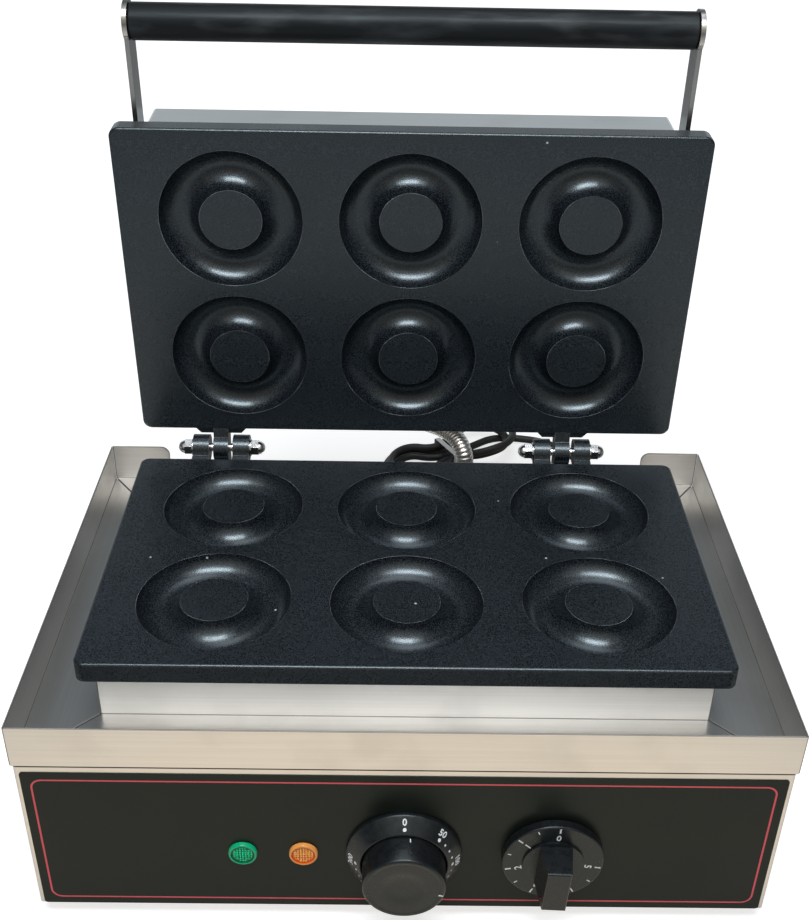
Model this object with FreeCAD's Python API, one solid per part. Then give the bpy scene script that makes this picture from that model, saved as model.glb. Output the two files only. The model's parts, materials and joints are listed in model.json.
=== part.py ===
import FreeCAD, Part
import math
import os

V = FreeCAD.Vector
X_AXIS = V(1, 0, 0)
Y_AXIS = V(0, 1, 0)
Z_AXIS = V(0, 0, 1)

# Donut maker with six ring moulds, shown with its lid open. Millimetres, +Z up, the controls face -Y.

# Folded steel body
SHEET = 1.0
BEND_R = 2.0
SLIP = 0.3
OVERRUN = 1.0
TRAY_W = 430.0
TRAY_D = 289.0
TRAY_WALL_H = 28.0
MITRE_GAP = 0.8
BACK_STUB_W = 42.0
BACK_CUT = 20.0
BACK_STUB_R = 6.0
HOUSING_H = 112.4
HOUSING_INSET = 1.0
HOUSING_FLANGE = 12.0
COLLAR_H = 32.4
COLLAR_INSET = 9.2
PAN_DROP = 12.0
FOOT_H = 12.0
FOOT_D = 26.0
FOOT_TIP_D = 21.0
FOOT_INSET = 30.0
FOOT_SCREW_D = 5.0

# Cast plates with ring moulds
PLATE_W = 366.0
PLATE_D = 213.8
PLATE_T = 12.4
PLATE_CORNER_R = 6.0
PLATE_EDGE_R = 1.5
PLATE_SETBACK = 30.9
PAD_T = 8.0
PAD_INSET = 22.0
FACE_GAP = 0.6
RING_D = 90.0
PEG_D = 39.5
RING_DEPTH = 11.5
RING_PITCH_X = 112.8
RING_PITCH_Y = 97.6

# Hinges
OPEN_DEG = 87.5
HINGE_REACH = 14.8
HINGE_LEFT_INSET = 53.5
HINGE_RIGHT_INSET = 74.0
LUG_R = 9.0
EAR_W = 11.3
TONGUE_W = 10.4
TONGUE_GAP = 3.0
TONGUE_PAD = 4.0
LUG_ROOT = 2.0
HEEL_REACH = 13.0
HEEL_HALF = 5.7
STOP_DROP = 7.5
BOLT_D = 6.0
RUN_FIT = 0.05
WASHER_D = 12.0
WASHER_T = 1.2
NUT_AF = 10.0
NUT_H = 5.0
NUT_DOME_R = 4.6

# Heating
ELEMENT_D = 8.0
ELEMENT_PITCH = 45.0
ELEMENT_RUN = 250.0
ELEMENT_PIN_D = 4.0
ELEMENT_PIN_L = 10.0
CLAMP_W = 20.0
CLAMP_T = 3.0
STUD_X = 110.0
STUD_D = 6.0
STUD_SEAT = 7.0
WOOL_GAP = 0.5
LID_WOOL_GAP = 20.0
BULB_D = 6.0
BULB_L = 90.0
CAPILLARY_D = 2.0

# Lid
COVER_INSET = 13.5
COVER_H = 66.0
STRAP_W = 18.0
STRAP_T = 3.0
STRAP_EYE_D = 25.0
STRAP_LAP = 70.0
STRAP_SCREW_PITCH = 40.0
STRAP_SCREW_D = 4.0
HANDLE_D = 22.0
GRIP_EDGE_R = 1.0
HANDLE_REACH = 282.0
HANDLE_RISE = 35.0
CORE_D = 10.0
CORE_SCREW_D = 5.0
CORE_SCREW_L = 18.0

# Controls
OVERLAY_T = 0.5
OVERLAY_SIDE = 3.0
OVERLAY_TOP = 5.3
OVERLAY_FOOT = 0.3
KNOB_Z = 46.5
LAMP_Z = 45.5
TEMPERATURE_X = 0.0
TIMER_X = 84.8
GREEN_X = -92.0
ORANGE_X = -57.4
SHAFT_D = 6.0
BUSH_D = 10.0
BUSH_REACH = 4.5
BUSH_NUT_AF = 14.0
BUSH_NUT_T = 3.0
DIAL_D = 66.4
DIAL_EDGE = 2.4
DIAL_RISE = 10.0
DIAL_BORE = 49.0
GRIP_D = 47.6
GRIP_TIP_D = 46.6
GRIP_REACH = 26.5
KNOB_GAP = 1.0
KNOB_WALL = 3.0
KNOB_EDGE_R = 1.2
KNOB_HUB_D = 13.0
CAP_D = 40.0
CAP_T = 2.0
CAP_DISH_D = 25.0
CAP_DISH = 0.8
TIMER_DISC_D = 58.0
TIMER_DISC_T = 5.5
TIMER_BOSS_D = 35.0
TIMER_BOSS_T = 1.5
TIMER_BAR_L = 30.0
TIMER_BAR_W = 19.0
TIMER_BAR_TIP_W = 13.4
TIMER_REACH = 28.0
TIMER_REST_TURN = 3.0
THERMOSTAT_W = 44.0
THERMOSTAT_DEEP = 34.0
TIMER_W = 52.0
TIMER_DEEP = 40.0
LAMP_D = 16.4
LAMP_RIM = 2.6
LAMP_LIP = 0.9
LAMP_BODY_D = 12.4
LAMP_BODY_L = 27.0
LAMP_NUT_D = 18.0
LAMP_NUT_T = 4.0

# Conduit from the body into the lid
CONDUIT_D = 12.6
CONDUIT_ROOT_D = 10.8
CONDUIT_BORE = 8.0
CONDUIT_RIB = 3.4
CONDUIT_X = 42.0
CONDUIT_SETBACK = 1.2
CONDUIT_RISE = 34.0
CONDUIT_DROP = 24.0
CONDUIT_LID_X = -8.0
CONDUIT_LID_RISE = 46.0
GLAND_AF = 16.0
GLAND_H = 9.0
GLAND_TAIL = 8.0
GLAND_TAIL_D = 11.0

# Mains cord, its hank and its plug
CORD_D = 7.0
CORD_X = 150.0
CORD_Z = 45.0
RELIEF_D = 16.0
RELIEF_TIP_D = 9.6
RELIEF_L = 38.0
RELIEF_FLANGE_D = 22.0
RELIEF_FLANGE_T = 3.0
HANK_X = 41.4
HANK_BACK = 231.5
HANK_TURN_DEG = 30.0
HANK_END = 38.1
HANK_REACH = 50.0
HANK_STEP = 7.6
HANK_LIFT = 4.4
HANK_TILT = 9.0
HANK_RADII = (17.6, 21.4, 25.2, 31.0, 31.0, 25.2)
HANK_LAYERS = (0, 0, 0, 0, 1, 1)
HANK_LEAVE_DEG = 250.0
HANK_START = (28.0, 3.6)
HANK_START_DEG = 189.8
TIE_W = 5.0
TIE_T = 0.5
PLUG_D = 36.0
PLUG_L = 34.0
PLUG_NECK_L = 24.0
PLUG_PIN_D = 4.8
PLUG_PIN_L = 19.0
PLUG_PIN_PITCH = 19.0
PLUG_CLIP_W = 8.0
PLUG_CLIP_DEEP = 2.5

# Terminal block and wires inside the body
BLOCK_L = 60.0
BLOCK_W = 22.0
BLOCK_H = 20.0
BLOCK_X = 110.0
BLOCK_Y = 95.0
WIRE_D = 3.0
WIRE_BEND_R = 9.0
VENT_L = 40.0
VENT_W = 4.0
VENT_PITCH = 12.0
VENT_COUNT = 8

# Heights and places that follow from the sizes above, measured from the middle of the tray on the table
HALF_W = TRAY_W / 2
HALF_D = TRAY_D / 2
HOUSING_X = HALF_W - HOUSING_INSET
HOUSING_Y = HALF_D - HOUSING_INSET
Z_HOUSING = FOOT_H
Z_TRAY = Z_HOUSING + HOUSING_H
Z_RIM = Z_TRAY + TRAY_WALL_H
Z_COLLAR = Z_TRAY + COLLAR_H
Z_FACE = Z_COLLAR + SHEET + PLATE_T
Z_HINGE = Z_FACE + FACE_GAP / 2
Z_PAN = Z_TRAY - PAN_DROP
PLATE_Y = PLATE_SETBACK + PLATE_D / 2 - HALF_D
HINGE_Y = PLATE_Y + PLATE_D / 2 + HINGE_REACH
COLLAR_X = PLATE_W / 2 - COLLAR_INSET
COLLAR_FRONT = PLATE_Y - PLATE_D / 2 + COLLAR_INSET
COLLAR_BACK = PLATE_Y + PLATE_D / 2 - COLLAR_INSET
CONDUIT_Y = (COLLAR_BACK + HALF_D) / 2 + CONDUIT_SETBACK
PAD_BACK = PLATE_T + PAD_T
AXIS_Y = PLATE_D / 2 + HINGE_REACH
AXIS_Z = -FACE_GAP / 2
HINGE_LEFT_X = HINGE_LEFT_INSET - PLATE_W / 2
HINGE_RIGHT_X = PLATE_W / 2 - HINGE_RIGHT_INSET
HINGES_X = (HINGE_LEFT_X, HINGE_RIGHT_X)
EAR_GAP = TONGUE_W + 2 * TONGUE_GAP
LUG_SPAN = EAR_GAP + 2 * EAR_W
COVER_X = PLATE_W / 2 - COVER_INSET
COVER_Y = PLATE_D / 2 - COVER_INSET
COVER_TOP = PLATE_T + COVER_H
HANDLE_Y = AXIS_Y - HANDLE_REACH
HANDLE_Z = HANDLE_RISE + AXIS_Z
STUD_Y = ELEMENT_PITCH
CORD_R = CORD_D / 2
HANK_Y = HOUSING_Y + HANK_BACK
PARTS = {}


def slab(x0, x1, y0, y1, z0, z1):
    return Part.makeBox(x1 - x0, y1 - y0, z1 - z0, V(x0, y0, z0))


def edges_along(shape, axis):
    return [e for e in shape.Edges if abs(abs(e.tangentAt(e.FirstParameter).dot(axis)) - 1) < 1e-6]


def edges_at_z(shape, z):
    return [e for e in shape.Edges if abs(e.BoundBox.ZMin - z) < 1e-6 and abs(e.BoundBox.ZMax - z) < 1e-6]


def round_slab(half_x, y0, y1, z0, z1, radius):
    box = slab(-half_x, half_x, y0, y1, z0, z1)
    return box.makeFillet(radius, edges_along(box, Z_AXIS))


def rod(diameter, start, end):
    along = end - start
    return Part.makeCylinder(diameter / 2, along.Length, start, along)


def cone(d0, d1, start, end):
    along = end - start
    return Part.makeCone(d0 / 2, d1 / 2, along.Length, start, along)


def hexagon(across_flats, height, base, axis):
    corner = across_flats / math.sqrt(3)
    angles = [math.radians(60 * i) for i in range(7)]
    points = [V(corner * math.cos(a), corner * math.sin(a), 0) for a in angles]
    prism = Part.Face(Part.makePolygon(points)).extrude(V(0, 0, height))
    prism.Placement = FreeCAD.Placement(base, FreeCAD.Rotation(Z_AXIS, axis))
    return prism


def turned(points):
    """A solid of revolution about Z from a closed outline of (radius, height) points."""
    outline = [V(r, 0, z) for r, z in points]
    return Part.Face(Part.makePolygon(outline + outline[:1])).revolve(V(0, 0, 0), Z_AXIS, 360)


def plan_prism(points, z0, z1):
    outline = [V(x, y, z0) for x, y in points]
    return Part.Face(Part.makePolygon(outline + outline[:1])).extrude(V(0, 0, z1 - z0))


def side_prism(points, x0, x1):
    outline = [V(x0, y, z) for y, z in points]
    return Part.Face(Part.makePolygon(outline + outline[:1])).extrude(V(x1 - x0, 0, 0))


def cut_all(shape, tools):
    return shape.cut(Part.makeCompound(tools))


def bore(diameter, place, z0, z1):
    """A cutting tool along Z at a place, run past both given heights."""
    return rod(diameter, V(place.x, place.y, z0 - OVERRUN), V(place.x, place.y, z1 + OVERRUN))


def joined(shapes):
    return shapes[0].multiFuse(shapes[1:]).removeSplitter()


def group(shapes):
    return Part.makeCompound(shapes)


def arc_edge(start, tangent, end):
    """The arc that leaves start along tangent and ends at end."""
    chord = end - start
    along = V(chord).normalize()
    lean = math.acos(max(-1, min(1, tangent.dot(along))))
    if lean < 1e-6:
        return Part.LineSegment(start, end).toShape()
    side = (tangent - along * tangent.dot(along)).normalize()
    middle = (start + end) * 0.5 + side * (chord.Length / 2 * math.tan(lean / 2))
    return Part.Arc(start, middle, end).toShape()


def biarc(start, t0, end, t1):
    """Two arcs that meet smoothly between two points with given directions."""
    v = end - start
    t = t0 + t1
    spread = 2 * (1 - t0.dot(t1))
    reach = v.dot(t)
    if spread < 1e-9:
        d = v.Length ** 2 / (2 * reach)
    else:
        d = (math.sqrt(reach ** 2 + spread * v.Length ** 2) - reach) / spread
    middle = (start + end + (t0 - t1) * d) * 0.5
    meet = (middle - (start + t0 * d)).normalize()
    return [arc_edge(start, t0, middle), arc_edge(middle, meet, end)]


def rounded_path(points, radius):
    """Straight runs joined by tangent arcs; radius takes the two runs and the half turn at a corner."""
    edges = []
    start = points[0]
    for before, corner, after in zip(points, points[1:], points[2:]):
        back = before - corner
        ahead = after - corner
        half_turn = (math.pi - back.getAngle(ahead)) / 2
        setback = radius(back.Length, ahead.Length, half_turn) * math.tan(half_turn)
        first = corner + V(back).normalize() * setback
        last = corner + V(ahead).normalize() * setback
        edges.append(Part.LineSegment(start, first).toShape())
        edges.append(arc_edge(first, V(back).normalize() * -1, last))
        start = last
    edges.append(Part.LineSegment(start, points[-1]).toShape())
    return Part.Wire(edges)


def pipe(path, diameter):
    edge = path.OrderedEdges[0]
    start = edge.valueAt(edge.FirstParameter)
    ahead = edge.tangentAt(edge.FirstParameter)
    profile = Part.Wire(Part.makeCircle(diameter / 2, start, ahead))
    return path.makePipeShell([profile], True, False)


def to_base(shape):
    """From a plate's own frame (face at z = 0, back towards +Z) to the lower plate's place."""
    flipped = shape.mirror(V(0, 0, 0), Z_AXIS)
    flipped.translate(V(0, PLATE_Y, Z_FACE))
    return flipped


def to_lid(shape):
    """From a plate's own frame to the lid's place, swung open about the hinge axis."""
    moved = shape.copy()
    moved.translate(V(0, PLATE_Y, Z_FACE + FACE_GAP))
    moved.rotate(V(0, HINGE_Y, Z_HINGE), X_AXIS, -OPEN_DEG)
    return moved


def to_panel(shape, x, z):
    """From a control's own frame (+Z out of the panel, Y up) to its place on the front of the housing."""
    moved = shape.copy()
    moved.rotate(V(0, 0, 0), X_AXIS, 90)
    moved.translate(V(x, -HOUSING_Y, Z_HOUSING + z))
    return moved


# Body of folded sheet steel on four feet

def foot_places():
    x = HOUSING_X - FOOT_INSET
    y = HOUSING_Y - FOOT_INSET
    return [V(sx * x, sy * y, 0) for sx in (-1, 1) for sy in (-1, 1)]


def vent_slots(x, y, z0, z1, along_y):
    slots = []
    for i in range(VENT_COUNT):
        at = x + (i - (VENT_COUNT - 1) / 2) * VENT_PITCH
        if along_y:
            slots.append(slab(at - VENT_W / 2, at + VENT_W / 2, y - VENT_L / 2, y + VENT_L / 2, z0, z1))
        else:
            slots.append(slab(at - VENT_W / 2, at + VENT_W / 2, y - 2 * SHEET, y + 2 * SHEET, z0, z1))
    return slots


def base_housing():
    outer = round_slab(HOUSING_X, -HOUSING_Y, HOUSING_Y, Z_HOUSING, Z_TRAY, BEND_R)
    outer = outer.makeFillet(BEND_R * 0.6, edges_at_z(outer, Z_TRAY))
    inner_x = HOUSING_X - SHEET
    inner_y = HOUSING_Y - SHEET
    inner = round_slab(inner_x, -inner_y, inner_y, Z_HOUSING + SHEET, Z_TRAY - SHEET, BEND_R - SHEET)
    mouth_x = HOUSING_X - HOUSING_FLANGE
    mouth_y = HOUSING_Y - HOUSING_FLANGE
    mouth = slab(-mouth_x, mouth_x, -mouth_y, mouth_y, Z_HOUSING - OVERRUN, Z_TRAY + OVERRUN)
    holes = [inner, mouth]
    hole = Part.makeCylinder(BUSH_D / 2 + SLIP, 6 * SHEET, V(0, 0, -3 * SHEET))
    holes += [to_panel(hole, x, KNOB_Z) for x in (TEMPERATURE_X, TIMER_X)]
    hole = Part.makeCylinder(LAMP_BODY_D / 2 + SLIP, 6 * SHEET, V(0, 0, -3 * SHEET))
    holes += [to_panel(hole, x, LAMP_Z) for x in (GREEN_X, ORANGE_X)]
    gland = V(CORD_X, HOUSING_Y - 2 * SHEET, Z_HOUSING + CORD_Z)
    holes.append(rod(RELIEF_D + 2 * SLIP, gland, gland + V(0, 4 * SHEET, 0)))
    middle = Z_HOUSING + HOUSING_H / 2
    holes += vent_slots(-HOUSING_X / 2, HOUSING_Y, middle - VENT_L / 2, middle + VENT_L / 2, False)
    return cut_all(outer, holes)


def bottom_plate():
    x = HOUSING_X - SHEET - SLIP
    y = HOUSING_Y - SHEET - SLIP
    z = Z_HOUSING + SHEET
    plate = round_slab(x, -y, y, z, z + SHEET, BEND_R)
    holes = [bore(FOOT_SCREW_D + 2 * RUN_FIT, p, z, z + SHEET) for p in foot_places()]
    holes += vent_slots(-HOUSING_X / 2, 0, z - SHEET, z + 2 * SHEET, True)
    holes += vent_slots(HOUSING_X / 2, 0, z - SHEET, z + 2 * SHEET, True)
    return cut_all(plate, holes)


FOOT_TOP = Z_HOUSING + SHEET
FOOT_SINK = FOOT_TOP / 2
FOOT_HEAD_D = 2 * FOOT_SCREW_D


def rubber_feet():
    hole = FOOT_SCREW_D / 2 + RUN_FIT
    sink = FOOT_HEAD_D / 2 + SLIP
    outside = [(sink, 0), (FOOT_TIP_D / 2, 0), (FOOT_D / 2, FOOT_TOP)]
    foot = turned(outside + [(hole, FOOT_TOP), (hole, FOOT_SINK), (sink, FOOT_SINK)])
    return group([foot.translated(p) for p in foot_places()])


def foot_screws():
    head = FOOT_SINK - FOOT_SCREW_D / 2
    nut_z = FOOT_TOP + SHEET
    end = nut_z + FOOT_SCREW_D
    shank = rod(FOOT_SCREW_D, V(0, 0, head), V(0, 0, end))
    screw = joined([rod(FOOT_HEAD_D, V(0, 0, head), V(0, 0, FOOT_SINK)), shank])
    nut = hexagon(1.6 * FOOT_SCREW_D, 0.8 * FOOT_SCREW_D, V(0, 0, nut_z), Z_AXIS)
    nut = nut.cut(bore(FOOT_SCREW_D + 2 * RUN_FIT, V(0, 0, 0), nut_z, end))
    return group([piece.translated(p) for p in foot_places() for piece in (screw, nut)])


def tray_strip(wall, floor, collar, corners):
    """One folded strip: outer wall, floor and inner collar, cut to its mitred plan."""
    return joined([wall, floor, collar]).common(plan_prism(corners, Z_TRAY - OVERRUN, Z_COLLAR + OVERRUN))


def tray_long_side(outer_y, collar_y, inward):
    """The front or back strip; inward is +1 at the front and -1 at the back."""
    wall_in = outer_y + inward * SHEET
    collar_in = collar_y + inward * SHEET
    wall = slab(-HALF_W, HALF_W, *sorted((outer_y, wall_in)), Z_TRAY, Z_RIM)
    floor = slab(-HALF_W, HALF_W, *sorted((outer_y, collar_in)), Z_TRAY, Z_TRAY + SHEET)
    collar = slab(-COLLAR_X, COLLAR_X, *sorted((collar_y, collar_in)), Z_TRAY, Z_COLLAR)
    g = MITRE_GAP / 2
    half = [(HALF_W - g, outer_y), (COLLAR_X - g, collar_y), (COLLAR_X - SHEET - g, collar_in)]
    corners = half + [(-x, y) for x, y in reversed(half)]
    return tray_strip(wall, floor, collar, corners)


def tray_end(side):
    """The left (-1) or right (+1) strip."""
    outer = side * HALF_W
    inner = side * (COLLAR_X - SHEET)
    wall = slab(*sorted((outer, outer - side * SHEET)), -HALF_D, HALF_D, Z_TRAY, Z_RIM)
    floor = slab(*sorted((outer, inner)), -HALF_D, HALF_D, Z_TRAY, Z_TRAY + SHEET)
    collar = slab(*sorted((inner, side * COLLAR_X)), COLLAR_FRONT, COLLAR_BACK, Z_TRAY, Z_COLLAR)
    g = MITRE_GAP / 2
    front = [(HALF_W, g - HALF_D), (COLLAR_X, COLLAR_FRONT + g), (COLLAR_X - SHEET, COLLAR_FRONT + SHEET + g)]
    back = [(COLLAR_X - SHEET, COLLAR_BACK - SHEET - g), (COLLAR_X, COLLAR_BACK - g), (HALF_W, HALF_D - g)]
    corners = [(side * x, y) for x, y in front + back]
    return tray_strip(wall, floor, collar, corners)


def tray_back():
    strip = tray_long_side(HALF_D, COLLAR_BACK, -1)
    cut_x = HALF_W - BACK_STUB_W
    y0 = HALF_D - 2 * SHEET
    y1 = HALF_D + SHEET
    holes = [slab(-cut_x, cut_x, y0, y1, Z_RIM - BACK_CUT, Z_RIM + OVERRUN)]
    for side in (-1, 1):
        x = side * (cut_x + BACK_STUB_R)
        z = Z_RIM - BACK_STUB_R
        corner = slab(*sorted((side * cut_x, x)), y0, y1, z, Z_RIM + OVERRUN)
        holes.append(corner.cut(rod(2 * BACK_STUB_R, V(x, y0 - SHEET, z), V(x, y1 + SHEET, z))))
    holes.append(bore(GLAND_TAIL_D + 2 * SLIP, V(CONDUIT_X, CONDUIT_Y, 0), Z_TRAY, Z_TRAY + SHEET))
    return cut_all(strip, holes)


def lower_pan():
    """The heater pan hangs on its flange between the collars and the plate."""
    x = COLLAR_X - SHEET - SLIP
    y0 = COLLAR_FRONT + SHEET + SLIP
    y1 = COLLAR_BACK - SHEET - SLIP
    tub = slab(-x, x, y0, y1, Z_PAN, Z_COLLAR + SHEET)
    flange = slab(-COLLAR_X, COLLAR_X, COLLAR_FRONT, COLLAR_BACK, Z_COLLAR, Z_COLLAR + SHEET)
    hollow = slab(SHEET - x, x - SHEET, y0 + SHEET, y1 - SHEET, Z_PAN + SHEET, Z_COLLAR + 2 * SHEET)
    pan = joined([tub, flange]).cut(hollow)
    middle = V(0, PLATE_Y, 0)
    holes = [bore(STUD_D + 2 * SLIP, p + middle, Z_PAN, Z_PAN + SHEET) for p in stud_places()]
    holes.append(wire_slot(Z_PAN, Z_PAN + SHEET).translated(middle))
    return cut_all(pan, holes)


# Plates, in their own frame: moulding face at z = 0, back towards +Z, hinge side towards +Y

def ring_places():
    return [V(i * RING_PITCH_X, j * RING_PITCH_Y / 2, 0) for j in (-1, 1) for i in (-1, 0, 1)]


def ring_tool():
    inner = PEG_D / 2
    outer = RING_D / 2
    groove = Part.Arc(V(inner, 0, 0), V((inner + outer) / 2, 0, RING_DEPTH), V(outer, 0, 0)).toShape()
    rim = Part.makePolygon([V(outer, 0, 0), V(outer, 0, -OVERRUN), V(inner, 0, -OVERRUN), V(inner, 0, 0)])
    return Part.Face(Part.Wire([groove] + rim.Edges)).revolve(V(0, 0, 0), Z_AXIS, 360)


def stud_places():
    return [V(sx * STUD_X, sy * STUD_Y, 0) for sx in (-1, 1) for sy in (-1, 1)]


def element_path():
    """Four runs along X joined by three half-circle bends, both ends on the right."""
    run = ELEMENT_RUN / 2
    bend = ELEMENT_PITCH / 2
    rows = [(i - 1.5) * ELEMENT_PITCH for i in range(4)]
    edges = []
    for i, y in enumerate(rows):
        ahead = -1 if i % 2 == 0 else 1
        start = V(-ahead * run, y, PAD_BACK)
        end = V(ahead * run, y, PAD_BACK)
        edges.append(Part.LineSegment(start, end).toShape())
        if i < 3:
            turn = V(ahead * (run + bend), y + bend, PAD_BACK)
            edges.append(Part.Arc(end, turn, V(ahead * run, y + ELEMENT_PITCH, PAD_BACK)).toShape())
    return Part.Wire(edges)


def casting():
    body = round_slab(PLATE_W / 2, -PLATE_D / 2, PLATE_D / 2, 0, PLATE_T, PLATE_CORNER_R)
    body = body.makeFillet(PLATE_EDGE_R, edges_at_z(body, 0))
    pad_y = PLATE_D / 2 - PAD_INSET
    pad = round_slab(PLATE_W / 2 - PAD_INSET, -pad_y, pad_y, PLATE_T, PAD_BACK, PLATE_CORNER_R)
    tool = ring_tool()
    holes = [tool.translated(p) for p in ring_places()]
    seat = V(0, 0, PAD_BACK - STUD_SEAT)
    holes += [rod(STUD_D + 2 * RUN_FIT, p + seat, p + seat + V(0, 0, 2 * STUD_SEAT)) for p in stud_places()]
    holes.append(pipe(element_path(), ELEMENT_D + 2 * RUN_FIT))
    end_x = ELEMENT_RUN / 2
    for y in (-1.5 * ELEMENT_PITCH, 1.5 * ELEMENT_PITCH):
        holes.append(rod(ELEMENT_D + 2 * RUN_FIT, V(end_x, y, PAD_BACK), V(PLATE_W / 2, y, PAD_BACK)))
    return cut_all(joined([body, pad]), holes)


def pin_holes():
    half = V(LUG_SPAN / 2 + OVERRUN, 0, 0)
    places = [V(x, AXIS_Y, AXIS_Z) for x in HINGES_X]
    return [rod(BOLT_D + 2 * RUN_FIT, p - half, p + half) for p in places]


def lug(x, width, points):
    """A hinge lug: a round eye on the axis and a web whose outline is given in (y, z)."""
    x0 = x - width / 2
    x1 = x + width / 2
    eye = rod(2 * LUG_R, V(x0, AXIS_Y, AXIS_Z), V(x1, AXIS_Y, AXIS_Z))
    return joined([eye, side_prism(points, x0, x1)])


def lower_plate():
    edge = PLATE_D / 2
    root = edge - LUG_ROOT
    slope = LUG_R * math.sqrt(0.5)
    face = PLATE_EDGE_R / 2
    shoulder = edge + TONGUE_PAD + OVERRUN
    web = [(root, PLATE_T), (root, face), (shoulder, face), (AXIS_Y - slope, AXIS_Z - slope)]
    web += [(AXIS_Y, AXIS_Z), (AXIS_Y, AXIS_Z + LUG_R)]
    stop_y = stop_face()
    half = EAR_GAP / 2 + OVERRUN
    shapes = [casting()]
    for x in HINGES_X:
        for side in (-1, 1):
            shapes.append(lug(x + side * (EAR_GAP + EAR_W) / 2, EAR_W, web))
        shapes.append(slab(x - half, x + half, root, stop_y, AXIS_Z + STOP_DROP, PLATE_T))
    plate = joined(shapes)
    bulb = V(-BULB_L / 2, 0, PAD_BACK)
    channel = rod(BULB_D + 2 * RUN_FIT, bulb - V(RUN_FIT, 0, 0), bulb + V(BULB_L + RUN_FIT, 0, 0))
    line = rod(CAPILLARY_D + 2 * SLIP, bulb, V(wire_slot_x() + CAPILLARY_D, 0, PAD_BACK))
    return cut_all(plate, pin_holes() + [channel, line])


def stop_face():
    """Where the heel of the tongue comes to rest with the lid open."""
    angle = math.radians(OPEN_DEG)
    heel = HEEL_HALF / math.sin(angle) - STOP_DROP / math.tan(angle)
    return AXIS_Y - heel - SLIP


def upper_plate():
    edge = PLATE_D / 2
    root = edge - LUG_ROOT
    web = [(root, PLATE_T), (root, PLATE_EDGE_R / 2), (AXIS_Y, AXIS_Z - LUG_R / 2), (AXIS_Y, AXIS_Z + LUG_R)]
    wide = LUG_SPAN / 2
    narrow = wide - TONGUE_PAD - PLATE_EDGE_R
    pad_y = edge + TONGUE_PAD
    shapes = [casting()]
    for x in HINGES_X:
        x0 = x - TONGUE_W / 2
        x1 = x + TONGUE_W / 2
        shapes.append(lug(x, TONGUE_W, web))
        shapes.append(slab(x0, x1, AXIS_Y, AXIS_Y + HEEL_REACH, AXIS_Z - HEEL_HALF, AXIS_Z + HEEL_HALF))
        pad = [(x - wide, root), (x + wide, root), (x + narrow, pad_y), (x - narrow, pad_y)]
        shapes.append(plan_prism(pad, PLATE_EDGE_R, PLATE_T))
    return cut_all(joined(shapes), pin_holes())


def heating_element():
    tube = pipe(element_path(), ELEMENT_D)
    x = ELEMENT_RUN / 2
    ends = [V(x, y, PAD_BACK) for y in (-1.5 * ELEMENT_PITCH, 1.5 * ELEMENT_PITCH)]
    pins = [rod(ELEMENT_PIN_D, p - V(OVERRUN, 0, 0), p + V(ELEMENT_PIN_L, 0, 0)) for p in ends]
    return joined([tube] + pins)


def element_clamps():
    """Two bars across the element, held by the studs."""
    z = PAD_BACK + ELEMENT_D / 2
    end = 1.5 * ELEMENT_PITCH + ELEMENT_D
    bars = []
    for x in (-STUD_X, STUD_X):
        bar = slab(x - CLAMP_W / 2, x + CLAMP_W / 2, -end, end, z, z + CLAMP_T)
        holes = [bore(STUD_D + 2 * RUN_FIT, V(x, y, 0), z, z + CLAMP_T) for y in (-STUD_Y, STUD_Y)]
        bars.append(cut_all(bar, holes))
    return group(bars)


CLAMP_BACK = PAD_BACK + ELEMENT_D / 2 + CLAMP_T
SLOT_HALF = 5.0


def wire_slot_x():
    return BULB_L / 2 + 2 * SLOT_HALF


def wire_slot(z0, z1):
    """The cutting tool of the slot that lets wires and the thermostat line through."""
    x = wire_slot_x()
    return slab(x - SLOT_HALF, x + SLOT_HALF, -SLOT_HALF, SLOT_HALF, z0 - OVERRUN, z1 + OVERRUN)


def wool(depth, half_x, half_y):
    """Mineral wool behind the element, to depth, with room for the studs, their nuts and the wires."""
    pad = slab(-half_x, half_x, -half_y, half_y, CLAMP_BACK + WOOL_GAP, depth)
    hole_d = 1.2 * NUT_AF + 2 * SLIP
    holes = [bore(hole_d, p, CLAMP_BACK, depth) for p in stud_places()]
    return cut_all(pad, holes + [wire_slot(CLAMP_BACK, depth)])


def pan_studs(seat):
    """Studs from the plate's back through the pan at seat, each with a washer and a nut."""
    pieces = []
    nut_z = seat + WASHER_T
    top = nut_z + NUT_H + OVERRUN
    for p in stud_places():
        pieces.append(rod(STUD_D, p + V(0, 0, PAD_BACK - STUD_SEAT + SLIP), p + V(0, 0, top)))
        washer = rod(WASHER_D, p + V(0, 0, seat), p + V(0, 0, nut_z))
        nut = hexagon(NUT_AF, NUT_H, p + V(0, 0, nut_z), Z_AXIS)
        hole = bore(STUD_D + 2 * RUN_FIT, p, seat, top)
        pieces += [washer.cut(hole), nut.cut(hole)]
    return group(pieces)


# Hinge bolts with washers and domed nuts, across the ears

def hinge_bolt(x):
    reach = LUG_SPAN / 2 + WASHER_T + NUT_H
    return rod(BOLT_D, V(x - reach, HINGE_Y, Z_HINGE), V(x + reach, HINGE_Y, Z_HINGE))


def hinge_washers():
    pieces = []
    for x in HINGES_X:
        for side in (-1, 1):
            out = V(side, 0, 0)
            start = V(x + side * LUG_SPAN / 2, HINGE_Y, Z_HINGE)
            end = start + out * WASHER_T
            hole = rod(BOLT_D + 2 * RUN_FIT, start - out, end + out)
            pieces.append(rod(WASHER_D, start, end).cut(hole))
    return group(pieces)


def dome_nut(base, axis, bore_d):
    """A hexagon nut with a domed cap; its bore stops inside the dome."""
    hexed = hexagon(NUT_AF, NUT_H, base, axis)
    centre = base + axis * NUT_H
    dome = Part.makeSphere(NUT_DOME_R, centre, axis, 0, 90, 360)
    hole = rod(bore_d + 2 * RUN_FIT, base - axis, centre + axis * SLIP)
    return joined([hexed, dome]).cut(hole)


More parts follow.
